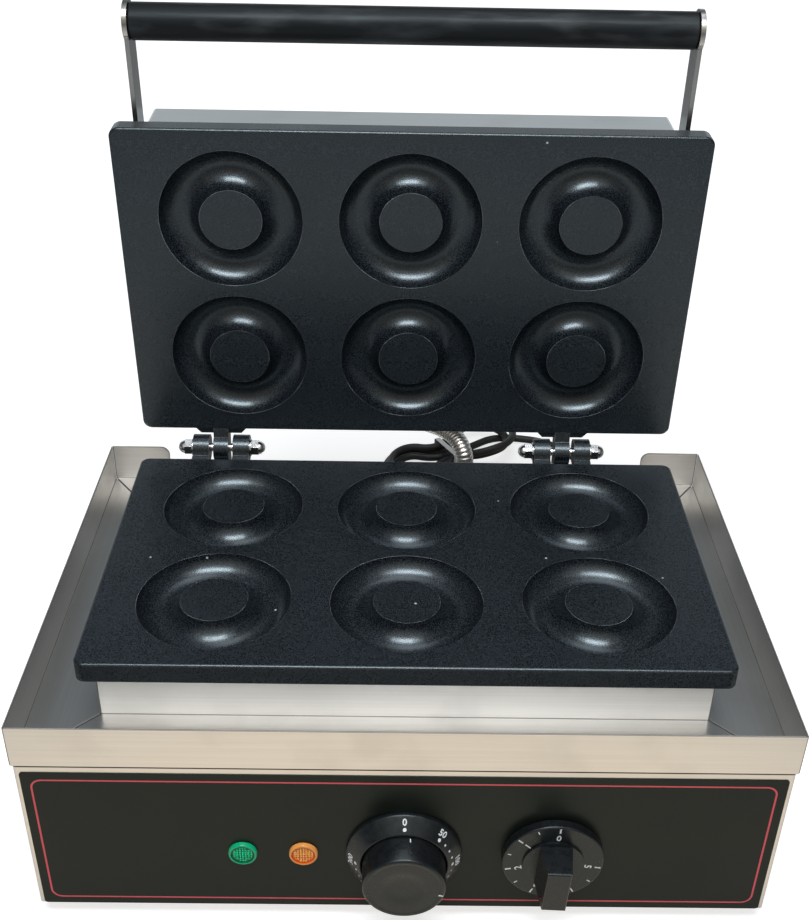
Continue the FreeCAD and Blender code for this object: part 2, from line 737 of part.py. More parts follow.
def hinge_nuts():
    pieces = []
    for x in HINGES_X:
        for side in (-1, 1):
            base = V(x + side * (LUG_SPAN / 2 + WASHER_T), HINGE_Y, Z_HINGE)
            pieces.append(dome_nut(base, V(side, 0, 0), BOLT_D))
    return group(pieces)


# Lid, in the plate's own frame

def conduit_lid_seat():
    return V(CONDUIT_LID_X, COVER_Y, AXIS_Z + CONDUIT_LID_RISE)


def strap_screw_places():
    end = -COVER_Y + STRAP_LAP
    ys = (end - STRAP_W / 2, end - STRAP_W / 2 - STRAP_SCREW_PITCH)
    return [(side, V(side * COVER_X, y, HANDLE_Z)) for side in (-1, 1) for y in ys]


def lid_cover():
    outer = round_slab(COVER_X, -COVER_Y, COVER_Y, PLATE_T, COVER_TOP, BEND_R)
    outer = outer.makeFillet(BEND_R * 0.9, edges_at_z(outer, COVER_TOP))
    inner_x = COVER_X - SHEET
    inner_y = COVER_Y - SHEET
    inner_r = BEND_R - SHEET
    inner = round_slab(inner_x, -inner_y, inner_y, PLATE_T - OVERRUN, COVER_TOP - SHEET, inner_r)
    holes = [inner]
    holes += [bore(STUD_D + 2 * SLIP, p, COVER_TOP - SHEET, COVER_TOP) for p in stud_places()]
    seat = conduit_lid_seat()
    through = Y_AXIS * (2 * SHEET)
    holes.append(rod(GLAND_TAIL_D + 2 * SLIP, seat - through, seat + through))
    through = X_AXIS * (2 * SHEET)
    holes += [rod(STRAP_SCREW_D + 2 * RUN_FIT, p - through, p + through) for side, p in strap_screw_places()]
    return cut_all(outer, holes)


def lid_nuts():
    """Domed nuts and washers on the studs outside the cover."""
    pieces = []
    for p in stud_places():
        seat = p + V(0, 0, COVER_TOP)
        hole = bore(STUD_D + 2 * RUN_FIT, p, COVER_TOP, COVER_TOP + WASHER_T)
        pieces.append(rod(WASHER_D, seat, seat + V(0, 0, WASHER_T)).cut(hole))
        pieces.append(dome_nut(seat + V(0, 0, WASHER_T), Z_AXIS, STUD_D))
    return group(pieces)


def lid_studs():
    start = V(0, 0, PAD_BACK - STUD_SEAT + SLIP)
    end = V(0, 0, COVER_TOP + WASHER_T + NUT_H)
    return group([rod(STUD_D, p + start, p + end) for p in stud_places()])


def clamp_nuts():
    """Plain nuts that press the clamp bars onto the lid's element."""
    pieces = []
    for p in stud_places():
        seat = p + V(0, 0, CLAMP_BACK)
        nut = hexagon(NUT_AF, NUT_H, seat, Z_AXIS)
        pieces.append(nut.cut(bore(STUD_D + 2 * RUN_FIT, p, CLAMP_BACK, CLAMP_BACK + NUT_H)))
    return group(pieces)


def handle_strap(side):
    x0, x1 = sorted((side * COVER_X, side * (COVER_X + STRAP_T)))
    inner_end = -COVER_Y + STRAP_LAP
    bar = slab(x0, x1, HANDLE_Y, inner_end, HANDLE_Z - STRAP_W / 2, HANDLE_Z + STRAP_W / 2)
    far_edges = [e for e in edges_along(bar, X_AXIS) if e.BoundBox.Center.y > HANDLE_Y + STRAP_W]
    bar = bar.makeFillet(STRAP_W / 3, far_edges)
    eye = rod(STRAP_EYE_D, V(x0, HANDLE_Y, HANDLE_Z), V(x1, HANDLE_Y, HANDLE_Z))
    outer = V(side * (COVER_X + STRAP_T), HANDLE_Y, HANDLE_Z)
    inner = V(side * COVER_X, HANDLE_Y, HANDLE_Z)
    sink = cone(2 * CORE_SCREW_D + 2 * RUN_FIT, CORE_SCREW_D + 2 * RUN_FIT, outer, inner)
    through = V(2 * STRAP_T, 0, 0)
    screws = [p for other, p in strap_screw_places() if other == side]
    holes = [rod(STRAP_SCREW_D + 2 * RUN_FIT, p - through, p + through) for p in screws]
    return cut_all(joined([bar, eye]), holes + [sink])


def handle_core():
    start = V(-COVER_X, HANDLE_Y, HANDLE_Z)
    end = V(COVER_X, HANDLE_Y, HANDLE_Z)
    core = rod(CORE_D, start, end)
    depth = X_AXIS * (CORE_SCREW_L + SLIP)
    hole = CORE_SCREW_D + 2 * RUN_FIT
    return cut_all(core, [rod(hole, start, start + depth), rod(hole, end, end - depth)])


def handle_grip():
    start = V(SLIP - COVER_X, HANDLE_Y, HANDLE_Z)
    end = V(COVER_X - SLIP, HANDLE_Y, HANDLE_Z)
    tube = rod(HANDLE_D, start, end)
    tube = tube.makeFillet(GRIP_EDGE_R, [e for e in tube.Edges if e.Closed])
    return tube.cut(rod(CORE_D + 2 * RUN_FIT, start - X_AXIS, end + X_AXIS))


def handle_screws():
    pieces = []
    for side in (-1, 1):
        outer = V(side * (COVER_X + STRAP_T), HANDLE_Y, HANDLE_Z)
        inner = V(side * COVER_X, HANDLE_Y, HANDLE_Z)
        head = cone(2 * CORE_SCREW_D, CORE_SCREW_D, outer, inner)
        pieces.append(joined([head, rod(CORE_SCREW_D, inner, inner - V(side * CORE_SCREW_L, 0, 0))]))
    return group(pieces)


def strap_screws():
    pieces = []
    for side, p in strap_screw_places():
        out = V(side, 0, 0)
        seat = p + out * STRAP_T
        head = cone(2 * STRAP_SCREW_D, 1.4 * STRAP_SCREW_D, seat, seat + out * (0.5 * STRAP_SCREW_D))
        inside = p - out * SHEET
        end = inside - out * STRAP_SCREW_D
        pieces.append(joined([head, rod(STRAP_SCREW_D, seat, end)]))
        nut = hexagon(1.75 * STRAP_SCREW_D, 0.8 * STRAP_SCREW_D, inside, out * -1)
        pieces.append(nut.cut(rod(STRAP_SCREW_D + 2 * RUN_FIT, inside + out, end - out)))
    return group(pieces)


# Controls, in their own frame: z = 0 on the front of the housing, +Z out of it

def control_overlay():
    x = HOUSING_X - OVERLAY_SIDE
    z0 = Z_HOUSING + OVERLAY_FOOT
    z1 = Z_TRAY - OVERLAY_TOP
    film = slab(-x, x, -HOUSING_Y - OVERLAY_T, -HOUSING_Y, z0, z1)
    film = film.makeFillet(BEND_R, edges_along(film, Y_AXIS))
    bush = Part.makeCylinder(BUSH_D / 2 + SLIP, 4 * OVERLAY_T, V(0, 0, -OVERLAY_T))
    lamp = Part.makeCylinder(LAMP_BODY_D / 2 + SLIP, 4 * OVERLAY_T, V(0, 0, -OVERLAY_T))
    holes = [to_panel(bush, x, KNOB_Z) for x in (TEMPERATURE_X, TIMER_X)]
    holes += [to_panel(lamp, x, LAMP_Z) for x in (GREEN_X, ORANGE_X)]
    return cut_all(film, holes)


def control_body(width, deep):
    """A switch body behind the panel, with a threaded bush through it and a bore for the shaft."""
    half = width / 2
    back = -SHEET - deep
    box = slab(-half, half, -half, half, back, -SHEET)
    box = box.makeFillet(2 * BEND_R, edges_along(box, Z_AXIS))
    bush = rod(BUSH_D, V(0, 0, -SHEET), V(0, 0, BUSH_REACH))
    return joined([box, bush]).cut(rod(SHAFT_D + 2 * RUN_FIT, V(0, 0, back / 2), V(0, 0, 2 * BUSH_REACH)))


def control_shaft(deep, tip):
    return rod(SHAFT_D, V(0, 0, SLIP - (SHEET + deep) / 2), V(0, 0, tip))


def bush_nut():
    nut = hexagon(BUSH_NUT_AF, BUSH_NUT_T, V(0, 0, OVERLAY_T), Z_AXIS)
    return nut.cut(rod(BUSH_D + 2 * RUN_FIT, V(0, 0, 0), V(0, 0, 2 * BUSH_REACH)))


def temperature_dial():
    edge = OVERLAY_T + DIAL_EDGE
    top = OVERLAY_T + DIAL_RISE
    bore = DIAL_BORE / 2
    lip = bore + KNOB_GAP
    return turned([(bore, OVERLAY_T), (DIAL_D / 2, OVERLAY_T), (DIAL_D / 2, edge), (lip, top), (bore, top)])


KNOB_BACK = OVERLAY_T + KNOB_GAP
KNOB_FLOOR = GRIP_REACH - CAP_T - KNOB_WALL
GRIP_SHAFT_TIP = KNOB_FLOOR - SLIP


def temperature_knob():
    wall = GRIP_D / 2 - KNOB_WALL
    hub = KNOB_HUB_D / 2
    hole = SHAFT_D / 2 + RUN_FIT
    seat = CAP_D / 2 + RUN_FIT
    hub_back = BUSH_REACH + KNOB_GAP
    cap_back = GRIP_REACH - CAP_T
    front = [(GRIP_D / 2, KNOB_BACK), (GRIP_TIP_D / 2, GRIP_REACH), (seat, GRIP_REACH), (seat, cap_back),
             (0, cap_back)]
    back = [(0, KNOB_FLOOR), (hole, KNOB_FLOOR), (hole, hub_back), (hub, hub_back), (hub, KNOB_FLOOR),
            (wall, KNOB_FLOOR), (wall, KNOB_BACK)]
    grip = turned(front + back)
    rim = [e for e in edges_at_z(grip, GRIP_REACH) if e.Curve.Radius > seat + SLIP]
    return grip.makeFillet(KNOB_EDGE_R, rim)


def temperature_cap():
    """A flat disc let into the front of the grip, dished in the middle."""
    top = GRIP_REACH - SLIP
    dish = CAP_DISH_D / 2
    disc = rod(CAP_D, V(0, 0, GRIP_REACH - CAP_T), V(0, 0, top))
    ball_r = (dish ** 2 + CAP_DISH ** 2) / (2 * CAP_DISH)
    return disc.cut(Part.makeSphere(ball_r, V(0, 0, top + ball_r - CAP_DISH)))


TIMER_SHAFT_TIP = TIMER_REACH / 2


def timer_knob():
    """A scale disc with a raised boss and a tapered bar to turn it by, turned a little from upright."""
    disc_top = KNOB_BACK + TIMER_DISC_T
    boss_top = disc_top + TIMER_BOSS_T
    hub_back = BUSH_REACH + KNOB_GAP / 2
    disc = rod(TIMER_DISC_D, V(0, 0, KNOB_BACK), V(0, 0, disc_top))
    disc = disc.makeFillet(KNOB_EDGE_R, edges_at_z(disc, disc_top))
    boss = rod(TIMER_BOSS_D, V(0, 0, disc_top - OVERRUN), V(0, 0, boss_top))
    base = TIMER_BAR_W / 2
    tip = TIMER_BAR_TIP_W / 2
    foot = disc_top - OVERRUN
    outline = [V(-base, 0, foot), V(base, 0, foot), V(tip, 0, TIMER_REACH), V(-tip, 0, TIMER_REACH)]
    bar = Part.Face(Part.makePolygon(outline + outline[:1])).extrude(V(0, TIMER_BAR_L, 0))
    bar.translate(V(0, -TIMER_BAR_L / 2, 0))
    bar = bar.makeFillet(KNOB_EDGE_R, edges_at_z(bar, TIMER_REACH))
    knob = joined([disc, boss, bar])
    pocket = rod(BUSH_NUT_AF * 1.3, V(0, 0, 0), V(0, 0, hub_back))
    hole = rod(SHAFT_D + 2 * RUN_FIT, V(0, 0, 0), V(0, 0, TIMER_SHAFT_TIP + SLIP))
    knob = cut_all(knob, [pocket, hole])
    knob.rotate(V(0, 0, 0), Z_AXIS, -TIMER_REST_TURN)
    return knob


def lamp():
    """One moulded lens: a rim on the panel, a recessed faceted window and a body through the panel."""
    rim = LAMP_D / 2
    face = OVERLAY_T + LAMP_RIM
    body = LAMP_BODY_D / 2
    back = -SHEET - LAMP_BODY_L
    lip = rim - LAMP_LIP
    window = lip - LAMP_LIP
    floor = face - LAMP_LIP
    return turned([(0, back), (body, back), (body, OVERLAY_T), (rim, OVERLAY_T), (rim, floor), (lip, face),
                   (window, floor), (0, face)])


def lamp_nut():
    start = V(0, 0, -SHEET)
    end = V(0, 0, -SHEET - LAMP_NUT_T)
    return rod(LAMP_NUT_D, start, end).cut(rod(LAMP_BODY_D + 2 * RUN_FIT, V(0, 0, 0), end * 2))


# Thermostat line, terminal block and wires inside the body

def thermostat_bulb():
    """The sensing bulb in its channel under the plate and the thin line down to the thermostat."""
    z = Z_FACE - PAD_BACK
    bulb = rod(BULB_D, V(-BULB_L / 2, PLATE_Y, z), V(BULB_L / 2, PLATE_Y, z))
    x = wire_slot_x()
    back = SHEET + THERMOSTAT_DEEP - HOUSING_Y
    height = Z_HOUSING + KNOB_Z
    corner_z = height + THERMOSTAT_W / 4
    points = [V(BULB_L / 2, PLATE_Y, z), V(x, PLATE_Y, z), V(x, PLATE_Y, corner_z),
              V(TEMPERATURE_X, back + THERMOSTAT_DEEP, corner_z), V(TEMPERATURE_X, back, corner_z)]
    line = pipe(rounded_path(points, lambda a, b, half: 1.5 * CAPILLARY_D), CAPILLARY_D)
    return joined([bulb, line])


BLOCK_Z = Z_HOUSING + 2 * SHEET


def terminal_block():
    x0 = BLOCK_X - BLOCK_L / 2
    x1 = BLOCK_X + BLOCK_L / 2
    y0 = BLOCK_Y - BLOCK_W / 2
    y1 = BLOCK_Y + BLOCK_W / 2
    middle_z = BLOCK_Z + BLOCK_H / 2
    base = slab(x0, x1, y0, y1, BLOCK_Z, middle_z)
    return joined([base, slab(x0, x1, y0 + BLOCK_W / 3, y1, middle_z, BLOCK_Z + BLOCK_H)])


def wire_routes():
    """Each wire as a list of corners, from face to face of what it joins."""
    top = BLOCK_Z + BLOCK_H
    high = top + 2 * BLOCK_H
    timer_back = SHEET + TIMER_DEEP - HOUSING_Y
    thermostat_back = SHEET + THERMOSTAT_DEEP - HOUSING_Y
    lamp_back = SHEET + LAMP_BODY_L - HOUSING_Y
    control_z = Z_HOUSING + KNOB_Z
    lamp_z = Z_HOUSING + LAMP_Z
    block_y = BLOCK_Y + BLOCK_W / 3
    routes = []
    step = BLOCK_L / 5
    low_z = control_z - step
    for start_x, end_x, end_y, end_z in ((BLOCK_X - 2 * step, TEMPERATURE_X - step, thermostat_back, low_z),
                                         (BLOCK_X - step, TIMER_X - step, timer_back, low_z),
                                         (BLOCK_X, TIMER_X + step, timer_back, control_z + step)):
        rising = [V(start_x, block_y, top), V(start_x, block_y, high), V(start_x, block_y - BLOCK_L, end_z)]
        routes.append(rising + [V(end_x, end_y + TIMER_DEEP, end_z), V(end_x, end_y, end_z)])
    for x in (GREEN_X, ORANGE_X):
        out_y = lamp_back + LAMP_BODY_L
        up_y = COLLAR_FRONT + 4 * WIRE_BEND_R
        bend = V(x, up_y, lamp_z + WIRE_BEND_R)
        routes.append([V(x, lamp_back, lamp_z), V(x, out_y, lamp_z), bend, V(x, up_y, Z_PAN)])
    return routes


def base_wires():
    return group([pipe(rounded_path(r, lambda a, b, half: WIRE_BEND_R), WIRE_D) for r in wire_routes()])


# Conduit with its two glands

def gland(base, axis):
    """A hexagon gland on a wall, with a tail through the wall."""
    tail = rod(GLAND_TAIL_D, base - axis * GLAND_TAIL, base)
    hole = rod(CONDUIT_BORE, base - axis * (2 * GLAND_TAIL), base + axis * (2 * GLAND_H))
    return joined([hexagon(GLAND_AF, GLAND_H, base, axis), tail]).cut(hole)


def conduit_ends():
    """The conduit's two ends and the way each gland points, with the lid open."""
    low = V(CONDUIT_X, CONDUIT_Y, Z_TRAY + SHEET + GLAND_H)
    seat = conduit_lid_seat()
    high = to_lid(Part.Vertex(seat + V(0, GLAND_H, 0))).Point
    wall = to_lid(Part.Vertex(seat)).Point
    return low, high, (high - wall).normalize()


def conduit_path():
    low, high, out = conduit_ends()
    corners = [low, low + Z_AXIS * CONDUIT_RISE, high + out * CONDUIT_DROP, high]
    return rounded_path(corners, lambda a, b, half: (min(a, b) - CONDUIT_D) / math.tan(half))


def path_frames(path, distances):
    """Point and direction at each distance along a path."""
    edges = path.OrderedEdges
    frames = []
    for s in distances:
        rest = s
        for edge in edges:
            if rest <= edge.Length or edge is edges[-1]:
                at = edge.getParameterByLength(min(rest, edge.Length))
                frames.append((edge.valueAt(at), edge.tangentAt(at)))
                break
            rest -= edge.Length
    return frames


def conduit():
    """A ribbed metal hose: four circles to a rib, plain ends, and a bore."""
    path = conduit_path()
    ribs = int((path.Length - 2 * CONDUIT_D) / CONDUIT_RIB)
    first = (path.Length - ribs * CONDUIT_RIB) / 2
    stations = [(0, CONDUIT_ROOT_D)]
    for i in range(ribs):
        for share, d in ((0.0, CONDUIT_ROOT_D), (0.2, CONDUIT_D), (0.6, CONDUIT_D), (0.8, CONDUIT_ROOT_D)):
            stations.append((first + (i + share) * CONDUIT_RIB, d))
    stations.append((path.Length, CONDUIT_ROOT_D))
    rings = []
    for (centre, ahead), (s, d) in zip(path_frames(path, [s for s, d in stations]), stations):
        circle = Part.Circle(centre, ahead, d / 2)
        circle.XAxis = ahead.cross(X_AXIS).cross(ahead).normalize()
        rings.append(Part.Wire(circle.toShape()))
    hose = Part.makeLoft(rings, True, True)
    return hose.cut(pipe(path, CONDUIT_BORE))


# Mains cord: strain relief, free lead, tied hank, free end and plug

def cord_relief():
    """A tapered strain relief in the back wall, with a flange outside and a collar inside."""
    wall = V(CORD_X, HOUSING_Y, Z_HOUSING + CORD_Z)
    flange = rod(RELIEF_FLANGE_D, wall, wall + V(0, RELIEF_FLANGE_T, 0))
    taper = cone(RELIEF_D, RELIEF_TIP_D, wall + V(0, RELIEF_FLANGE_T, 0), wall + V(0, RELIEF_L, 0))
    tail = rod(RELIEF_D, wall - V(0, 4 * SHEET, 0), wall)
    return joined([flange, taper, tail])


def cord_radius(a, b, half):
    return 0.45 * min(a, b) / math.tan(half)


def hank_point(along, across, z):
    turn = math.radians(HANK_TURN_DEG)
    x = along * math.cos(turn) - across * math.sin(turn)
    y = along * math.sin(turn) + across * math.cos(turn)
    return V(HANK_X + x, HANK_Y + y, z)


def hank_lean(along):
    """How far the right-hand end of the hank rides up over the lead that runs under it, and its slope."""
    share = max(0.0, min(1.0, along / HANK_END))
    return HANK_TILT * share ** 2 * (3 - 2 * share), HANK_TILT * 6 * share * (1 - share) / HANK_END


def hank_node(along, across, dir_along, dir_across, layer, climb=0.0):
    lean, slope = hank_lean(along)
    point = hank_point(along, across, HANK_LIFT + layer * HANK_STEP + lean)
    tip = hank_point(along + dir_along, across + dir_across, point.z + slope * dir_along + climb)
    return point, (tip - point).normalize()


def hank_start():
    """The lead comes in flat along the hank's own axis, under its right-hand end."""
    point = hank_point(*HANK_START, HANK_LIFT)
    way = math.radians(HANK_START_DEG + HANK_TURN_DEG)
    return point, V(math.cos(way), math.sin(way), 0)


def hank_nodes():
    """Points and directions along the hank: round ends left and right, drawn in at the waist between them."""
    nodes = [hank_start()]
    for i in range(len(HANK_RADII) - 1):
        r0, r1 = HANK_RADII[i], HANK_RADII[i + 1]
        side = 1 if i % 2 == 0 else -1
        waist = HANK_REACH - (r0 + r1) / 2
        shift = ((waist + r0) ** 2 - (waist + r1) ** 2) / (4 * HANK_END)
        waist_x = -side * shift
        waist_y = side * math.sqrt((waist + r0) ** 2 - (HANK_END + shift) ** 2)
        layer, next_layer = HANK_LAYERS[i], HANK_LAYERS[i + 1]
        climb = 1.6 * HANK_STEP * (next_layer - layer) / (2 * waist)
        if i > 0:
            nodes.append(hank_end_node(side, r0, waist_x, waist_y, layer))
        nodes.append(hank_node(waist_x, waist_y - side * waist, -side, 0, (layer + next_layer) / 2, climb))
        nodes.append(hank_end_node(-side, r1, waist_x, waist_y, next_layer))
        nodes.append(hank_node(-side * (HANK_END + r1), 0, 0, -side, next_layer))
    leave = math.radians(HANK_LEAVE_DEG)
    last = HANK_RADII[-1]
    out_x = math.cos(leave)
    out_y = math.sin(leave)
    nodes.append(hank_node(last * out_x - HANK_END, last * out_y, -out_y, out_x, HANK_LAYERS[-1]))
    return nodes


def hank_end_node(end, radius, waist_x, waist_y, layer):
    """Where a round end (-1 left, +1 right) runs over into the waist whose centre is given."""
    dx = waist_x - end * HANK_END
    length = math.hypot(dx, waist_y)
    out_x = dx / length
    out_y = waist_y / length
    return hank_node(end * HANK_END + radius * out_x, radius * out_y, -out_y, out_x, layer)


def hank_path():
    nodes = hank_nodes()
    edges = []
    for (p0, t0), (p1, t1) in zip(nodes, nodes[1:]):
        edges += biarc(p0, t0, p1, t1)
    return Part.Wire(edges)


def lead_route():
    start = V(CORD_X, HOUSING_Y + RELIEF_L, Z_HOUSING + CORD_Z)
    falling = [start + V(0, 24, 0), start + V(1, 50.5, -18), start + V(4, 77.5, -41)]
    steps = ((10, 106.5), (19, 136.5), (22, 168.5), (15, 198.5), (-3, 218.5), (-22, 229))
    lying = [V(start.x + x, start.y + y, CORD_R) for x, y in steps]
    point, way = hank_start()
    return [start] + falling + lying + [point - way * 34, point]


def plug_entry():
    return hank_point(8.3, -145, PLUG_D / 2)


def end_route():
    point, way = hank_nodes()[-1]
    lying = [hank_point(4, -45, 6.5), hank_point(20, -66, CORD_R), hank_point(23, -95, 6.0)]
    return [point, point + way * 24] + lying + [hank_point(15, -123, PLUG_D / 2), plug_entry()]


def free_cord(name, route):
    path = rounded_path(route, cord_radius)
    tube = pipe(path, CORD_D)
    turns = [round(math.degrees((b - a).getAngle(c - b)), 1) for a, b, c in zip(route, route[1:], route[2:])]
    radii = [round(e.Curve.Radius, 1) for e in path.Edges if hasattr(e.Curve, "Radius")]
    print(name, "length", round(path.Length, 1), "turns", turns, "radii", radii)
    section = math.pi * CORD_R ** 2
    print(name, "volume", round(tube.Volume, 1), "section times length", round(section * path.Length, 1))
    return tube, path.Length


def least_gap(path):
    """Least clear space between stretches of a coiled cord that lie well apart along it."""
    step = CORD_D / 4
    apart = 12
    points = path.discretize(Distance=step)
    return min((p - q).Length for i, p in enumerate(points) for q in points[i + apart:]) - CORD_D


def cord_hank():
    path = hank_path()
    print("hank length", round(path.Length, 1), "least gap", round(least_gap(path), 2))
    return pipe(path, CORD_D), path.Length


def cord_tie():
    """A flat band round the waist of the hank."""
    waist = HANK_REACH - max(HANK_RADII)
    drop = math.sqrt(HANK_REACH ** 2 - HANK_END ** 2) - waist
    side = drop + CORD_R + 2 * SLIP
    z0 = HANK_LIFT - CORD_R - SLIP
    z1 = HANK_LIFT + HANK_STEP + CORD_R + 2 * SLIP
    ring = slab(-TIE_W / 2, TIE_W / 2, -side - TIE_T, side + TIE_T, z0 - TIE_T, z1 + TIE_T)
    ring = ring.makeFillet(2.0, edges_along(ring, X_AXIS))
    hole = slab(-TIE_W, TIE_W, -side, side, z0, z1)
    hole = hole.makeFillet(2.0 - TIE_T, edges_along(hole, X_AXIS))
    band = ring.cut(hole)
    band.rotate(V(0, 0, 0), Z_AXIS, HANK_TURN_DEG)
    band.translate(V(HANK_X, HANK_Y, 0))
    return band


def plug():
    """A round earthed two-pin plug lying on the table, its neck towards the hank."""
    neck = PLUG_NECK_L
    body_r = PLUG_D / 2
    body_end = neck + PLUG_L
    shoulder = neck + PLUG_L / 3
    neck_side = [(0, 0), (0.65 * CORD_D, 0), (CORD_D, neck), (0.9 * body_r, neck + PLUG_L / 8)]
    body = turned(neck_side + [(body_r, shoulder), (body_r, body_end), (0, body_end)])
    clip = PLUG_CLIP_W / 2
    groove = slab(-clip, clip, body_r - PLUG_CLIP_DEEP, 2 * body_r, neck + PLUG_L / 2, 2 * body_end)
    grooves = [groove, groove.mirror(V(0, 0, 0), Y_AXIS)]
    pins = []
    for s in (-1, 1):
        foot = V(s * PLUG_PIN_PITCH / 2, 0, body_end)
        pin = rod(PLUG_PIN_D, foot - Z_AXIS, foot + V(0, 0, PLUG_PIN_L))
        pins.append(pin.makeFillet(PLUG_PIN_D / 3, edges_at_z(pin, body_end + PLUG_PIN_L)))
    shape = joined([cut_all(body, grooves)] + pins)
    route = end_route()
    ahead = (route[-1] - route[-2]).normalize()
    shape.Placement = FreeCAD.Placement(plug_entry(), FreeCAD.Rotation(X_AXIS, V(0, 0, 0), ahead, "ZXY"))
    return shape


def build():
    knobs_z = KNOB_Z
    PARTS["base_housing"] = base_housing()
    PARTS["bottom_plate"] = bottom_plate()
    PARTS["rubber_feet"] = rubber_feet()
    PARTS["foot_screws"] = foot_screws()
    PARTS["tray_front"] = tray_long_side(-HALF_D, COLLAR_FRONT, 1)
    PARTS["tray_left"] = tray_end(-1)
    PARTS["tray_right"] = tray_end(1)
    PARTS["tray_back"] = tray_back()
    PARTS["lower_pan"] = lower_pan()
    PARTS["lower_plate"] = to_base(lower_plate())
    PARTS["lower_element"] = to_base(heating_element())
    PARTS["lower_clamps"] = to_base(element_clamps())
    pan_floor = Z_FACE - Z_PAN
    half_x = COLLAR_X - 3 * SHEET - SLIP
    half_y = PLATE_D / 2 - COLLAR_INSET - 3 * SHEET - SLIP
    PARTS["lower_insulation"] = to_base(wool(pan_floor - SHEET, half_x, half_y))
    PARTS["lower_studs"] = to_base(pan_studs(pan_floor))
    PARTS["upper_plate"] = to_lid(upper_plate())
    PARTS["upper_element"] = to_lid(heating_element())
    PARTS["upper_clamps"] = to_lid(element_clamps())
    PARTS["upper_clamp_nuts"] = to_lid(clamp_nuts())
    wall_room = GLAND_TAIL + SHEET
    wool_back = COVER_TOP - LID_WOOL_GAP
    PARTS["upper_insulation"] = to_lid(wool(wool_back, COVER_X - wall_room, COVER_Y - wall_room))
    PARTS["lid_studs"] = to_lid(lid_studs())
    PARTS["lid_cover"] = to_lid(lid_cover())
    PARTS["lid_nuts"] = to_lid(lid_nuts())
    PARTS["handle_strap_left"] = to_lid(handle_strap(-1))
    PARTS["handle_strap_right"] = to_lid(handle_strap(1))
    PARTS["strap_screws"] = to_lid(strap_screws())
    PARTS["handle_core"] = to_lid(handle_core())
    PARTS["handle_grip"] = to_lid(handle_grip())
    PARTS["handle_screws"] = to_lid(handle_screws())
    PARTS["hinge_bolt_left"] = hinge_bolt(HINGE_LEFT_X)
    PARTS["hinge_bolt_right"] = hinge_bolt(HINGE_RIGHT_X)
    PARTS["hinge_washers"] = hinge_washers()
    PARTS["hinge_nuts"] = hinge_nuts()
    PARTS["control_overlay"] = control_overlay()
    PARTS["thermostat"] = to_panel(control_body(THERMOSTAT_W, THERMOSTAT_DEEP), TEMPERATURE_X, knobs_z)
    thermostat_shaft = control_shaft(THERMOSTAT_DEEP, GRIP_SHAFT_TIP)
    PARTS["thermostat_shaft"] = to_panel(thermostat_shaft, TEMPERATURE_X, knobs_z)
    PARTS["thermostat_bulb"] = thermostat_bulb()
    PARTS["temperature_dial"] = to_panel(temperature_dial(), TEMPERATURE_X, knobs_z)
    PARTS["temperature_knob"] = to_panel(temperature_knob(), TEMPERATURE_X, knobs_z)
    PARTS["temperature_cap"] = to_panel(temperature_cap(), TEMPERATURE_X, knobs_z)
    PARTS["timer"] = to_panel(control_body(TIMER_W, TIMER_DEEP), TIMER_X, knobs_z)
    PARTS["timer_shaft"] = to_panel(control_shaft(TIMER_DEEP, TIMER_SHAFT_TIP), TIMER_X, knobs_z)
    PARTS["timer_knob"] = to_panel(timer_knob(), TIMER_X, knobs_z)
    PARTS["bush_nuts"] = group([to_panel(bush_nut(), x, knobs_z) for x in (TEMPERATURE_X, TIMER_X)])
    PARTS["green_lamp"] = to_panel(lamp(), GREEN_X, LAMP_Z)
    PARTS["orange_lamp"] = to_panel(lamp(), ORANGE_X, LAMP_Z)
    PARTS["lamp_nuts"] = group([to_panel(lamp_nut(), x, LAMP_Z) for x in (GREEN_X, ORANGE_X)])
    PARTS["terminal_block"] = terminal_block()
    PARTS["base_wires"] = base_wires()
    PARTS["conduit_gland_base"] = gland(V(CONDUIT_X, CONDUIT_Y, Z_TRAY + SHEET), Z_AXIS)
    PARTS["conduit_gland_lid"] = to_lid(gland(conduit_lid_seat(), Y_AXIS))
    PARTS["conduit"] = conduit()
    PARTS["cord_relief"] = cord_relief()
    lead, lead_length = free_cord("mains_lead", lead_route())
    hank, hank_length = cord_hank()
    end, end_length = free_cord("cord_end", end_route())
    PARTS["mains_lead"] = lead
    PARTS["cord_hank"] = hank
    PARTS["cord_end"] = end
    PARTS["cord_tie"] = cord_tie()
    PARTS["mains_plug"] = plug()
    print("cord length", round(lead_length + hank_length + end_length, 1))


CORD_NODES = ("cord_relief", "mains_lead", "cord_hank", "cord_end", "cord_tie", "mains_plug")

build()
body = Part.makeCompound([s for name, s in PARTS.items() if name not in CORD_NODES]).optimalBoundingBox(False)
middle_y = (body.YMin + body.YMax) / 2
os.makedirs("parts", exist_ok=True)
for name, shape in PARTS.items():
    shape.translate(V(0, -middle_y, 0))
    shape.exportStep("parts/" + name + ".step")
print("tray's middle at y", round(-middle_y, 3))
print("hinge at y", round(HINGE_Y - middle_y, 3), "z", round(Z_HINGE, 3))
print("size", round(body.XLength, 2), round(body.YLength, 2), round(body.ZLength, 2))
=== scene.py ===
import json
import math

import bmesh
import bpy
from mathutils import Matrix, Vector

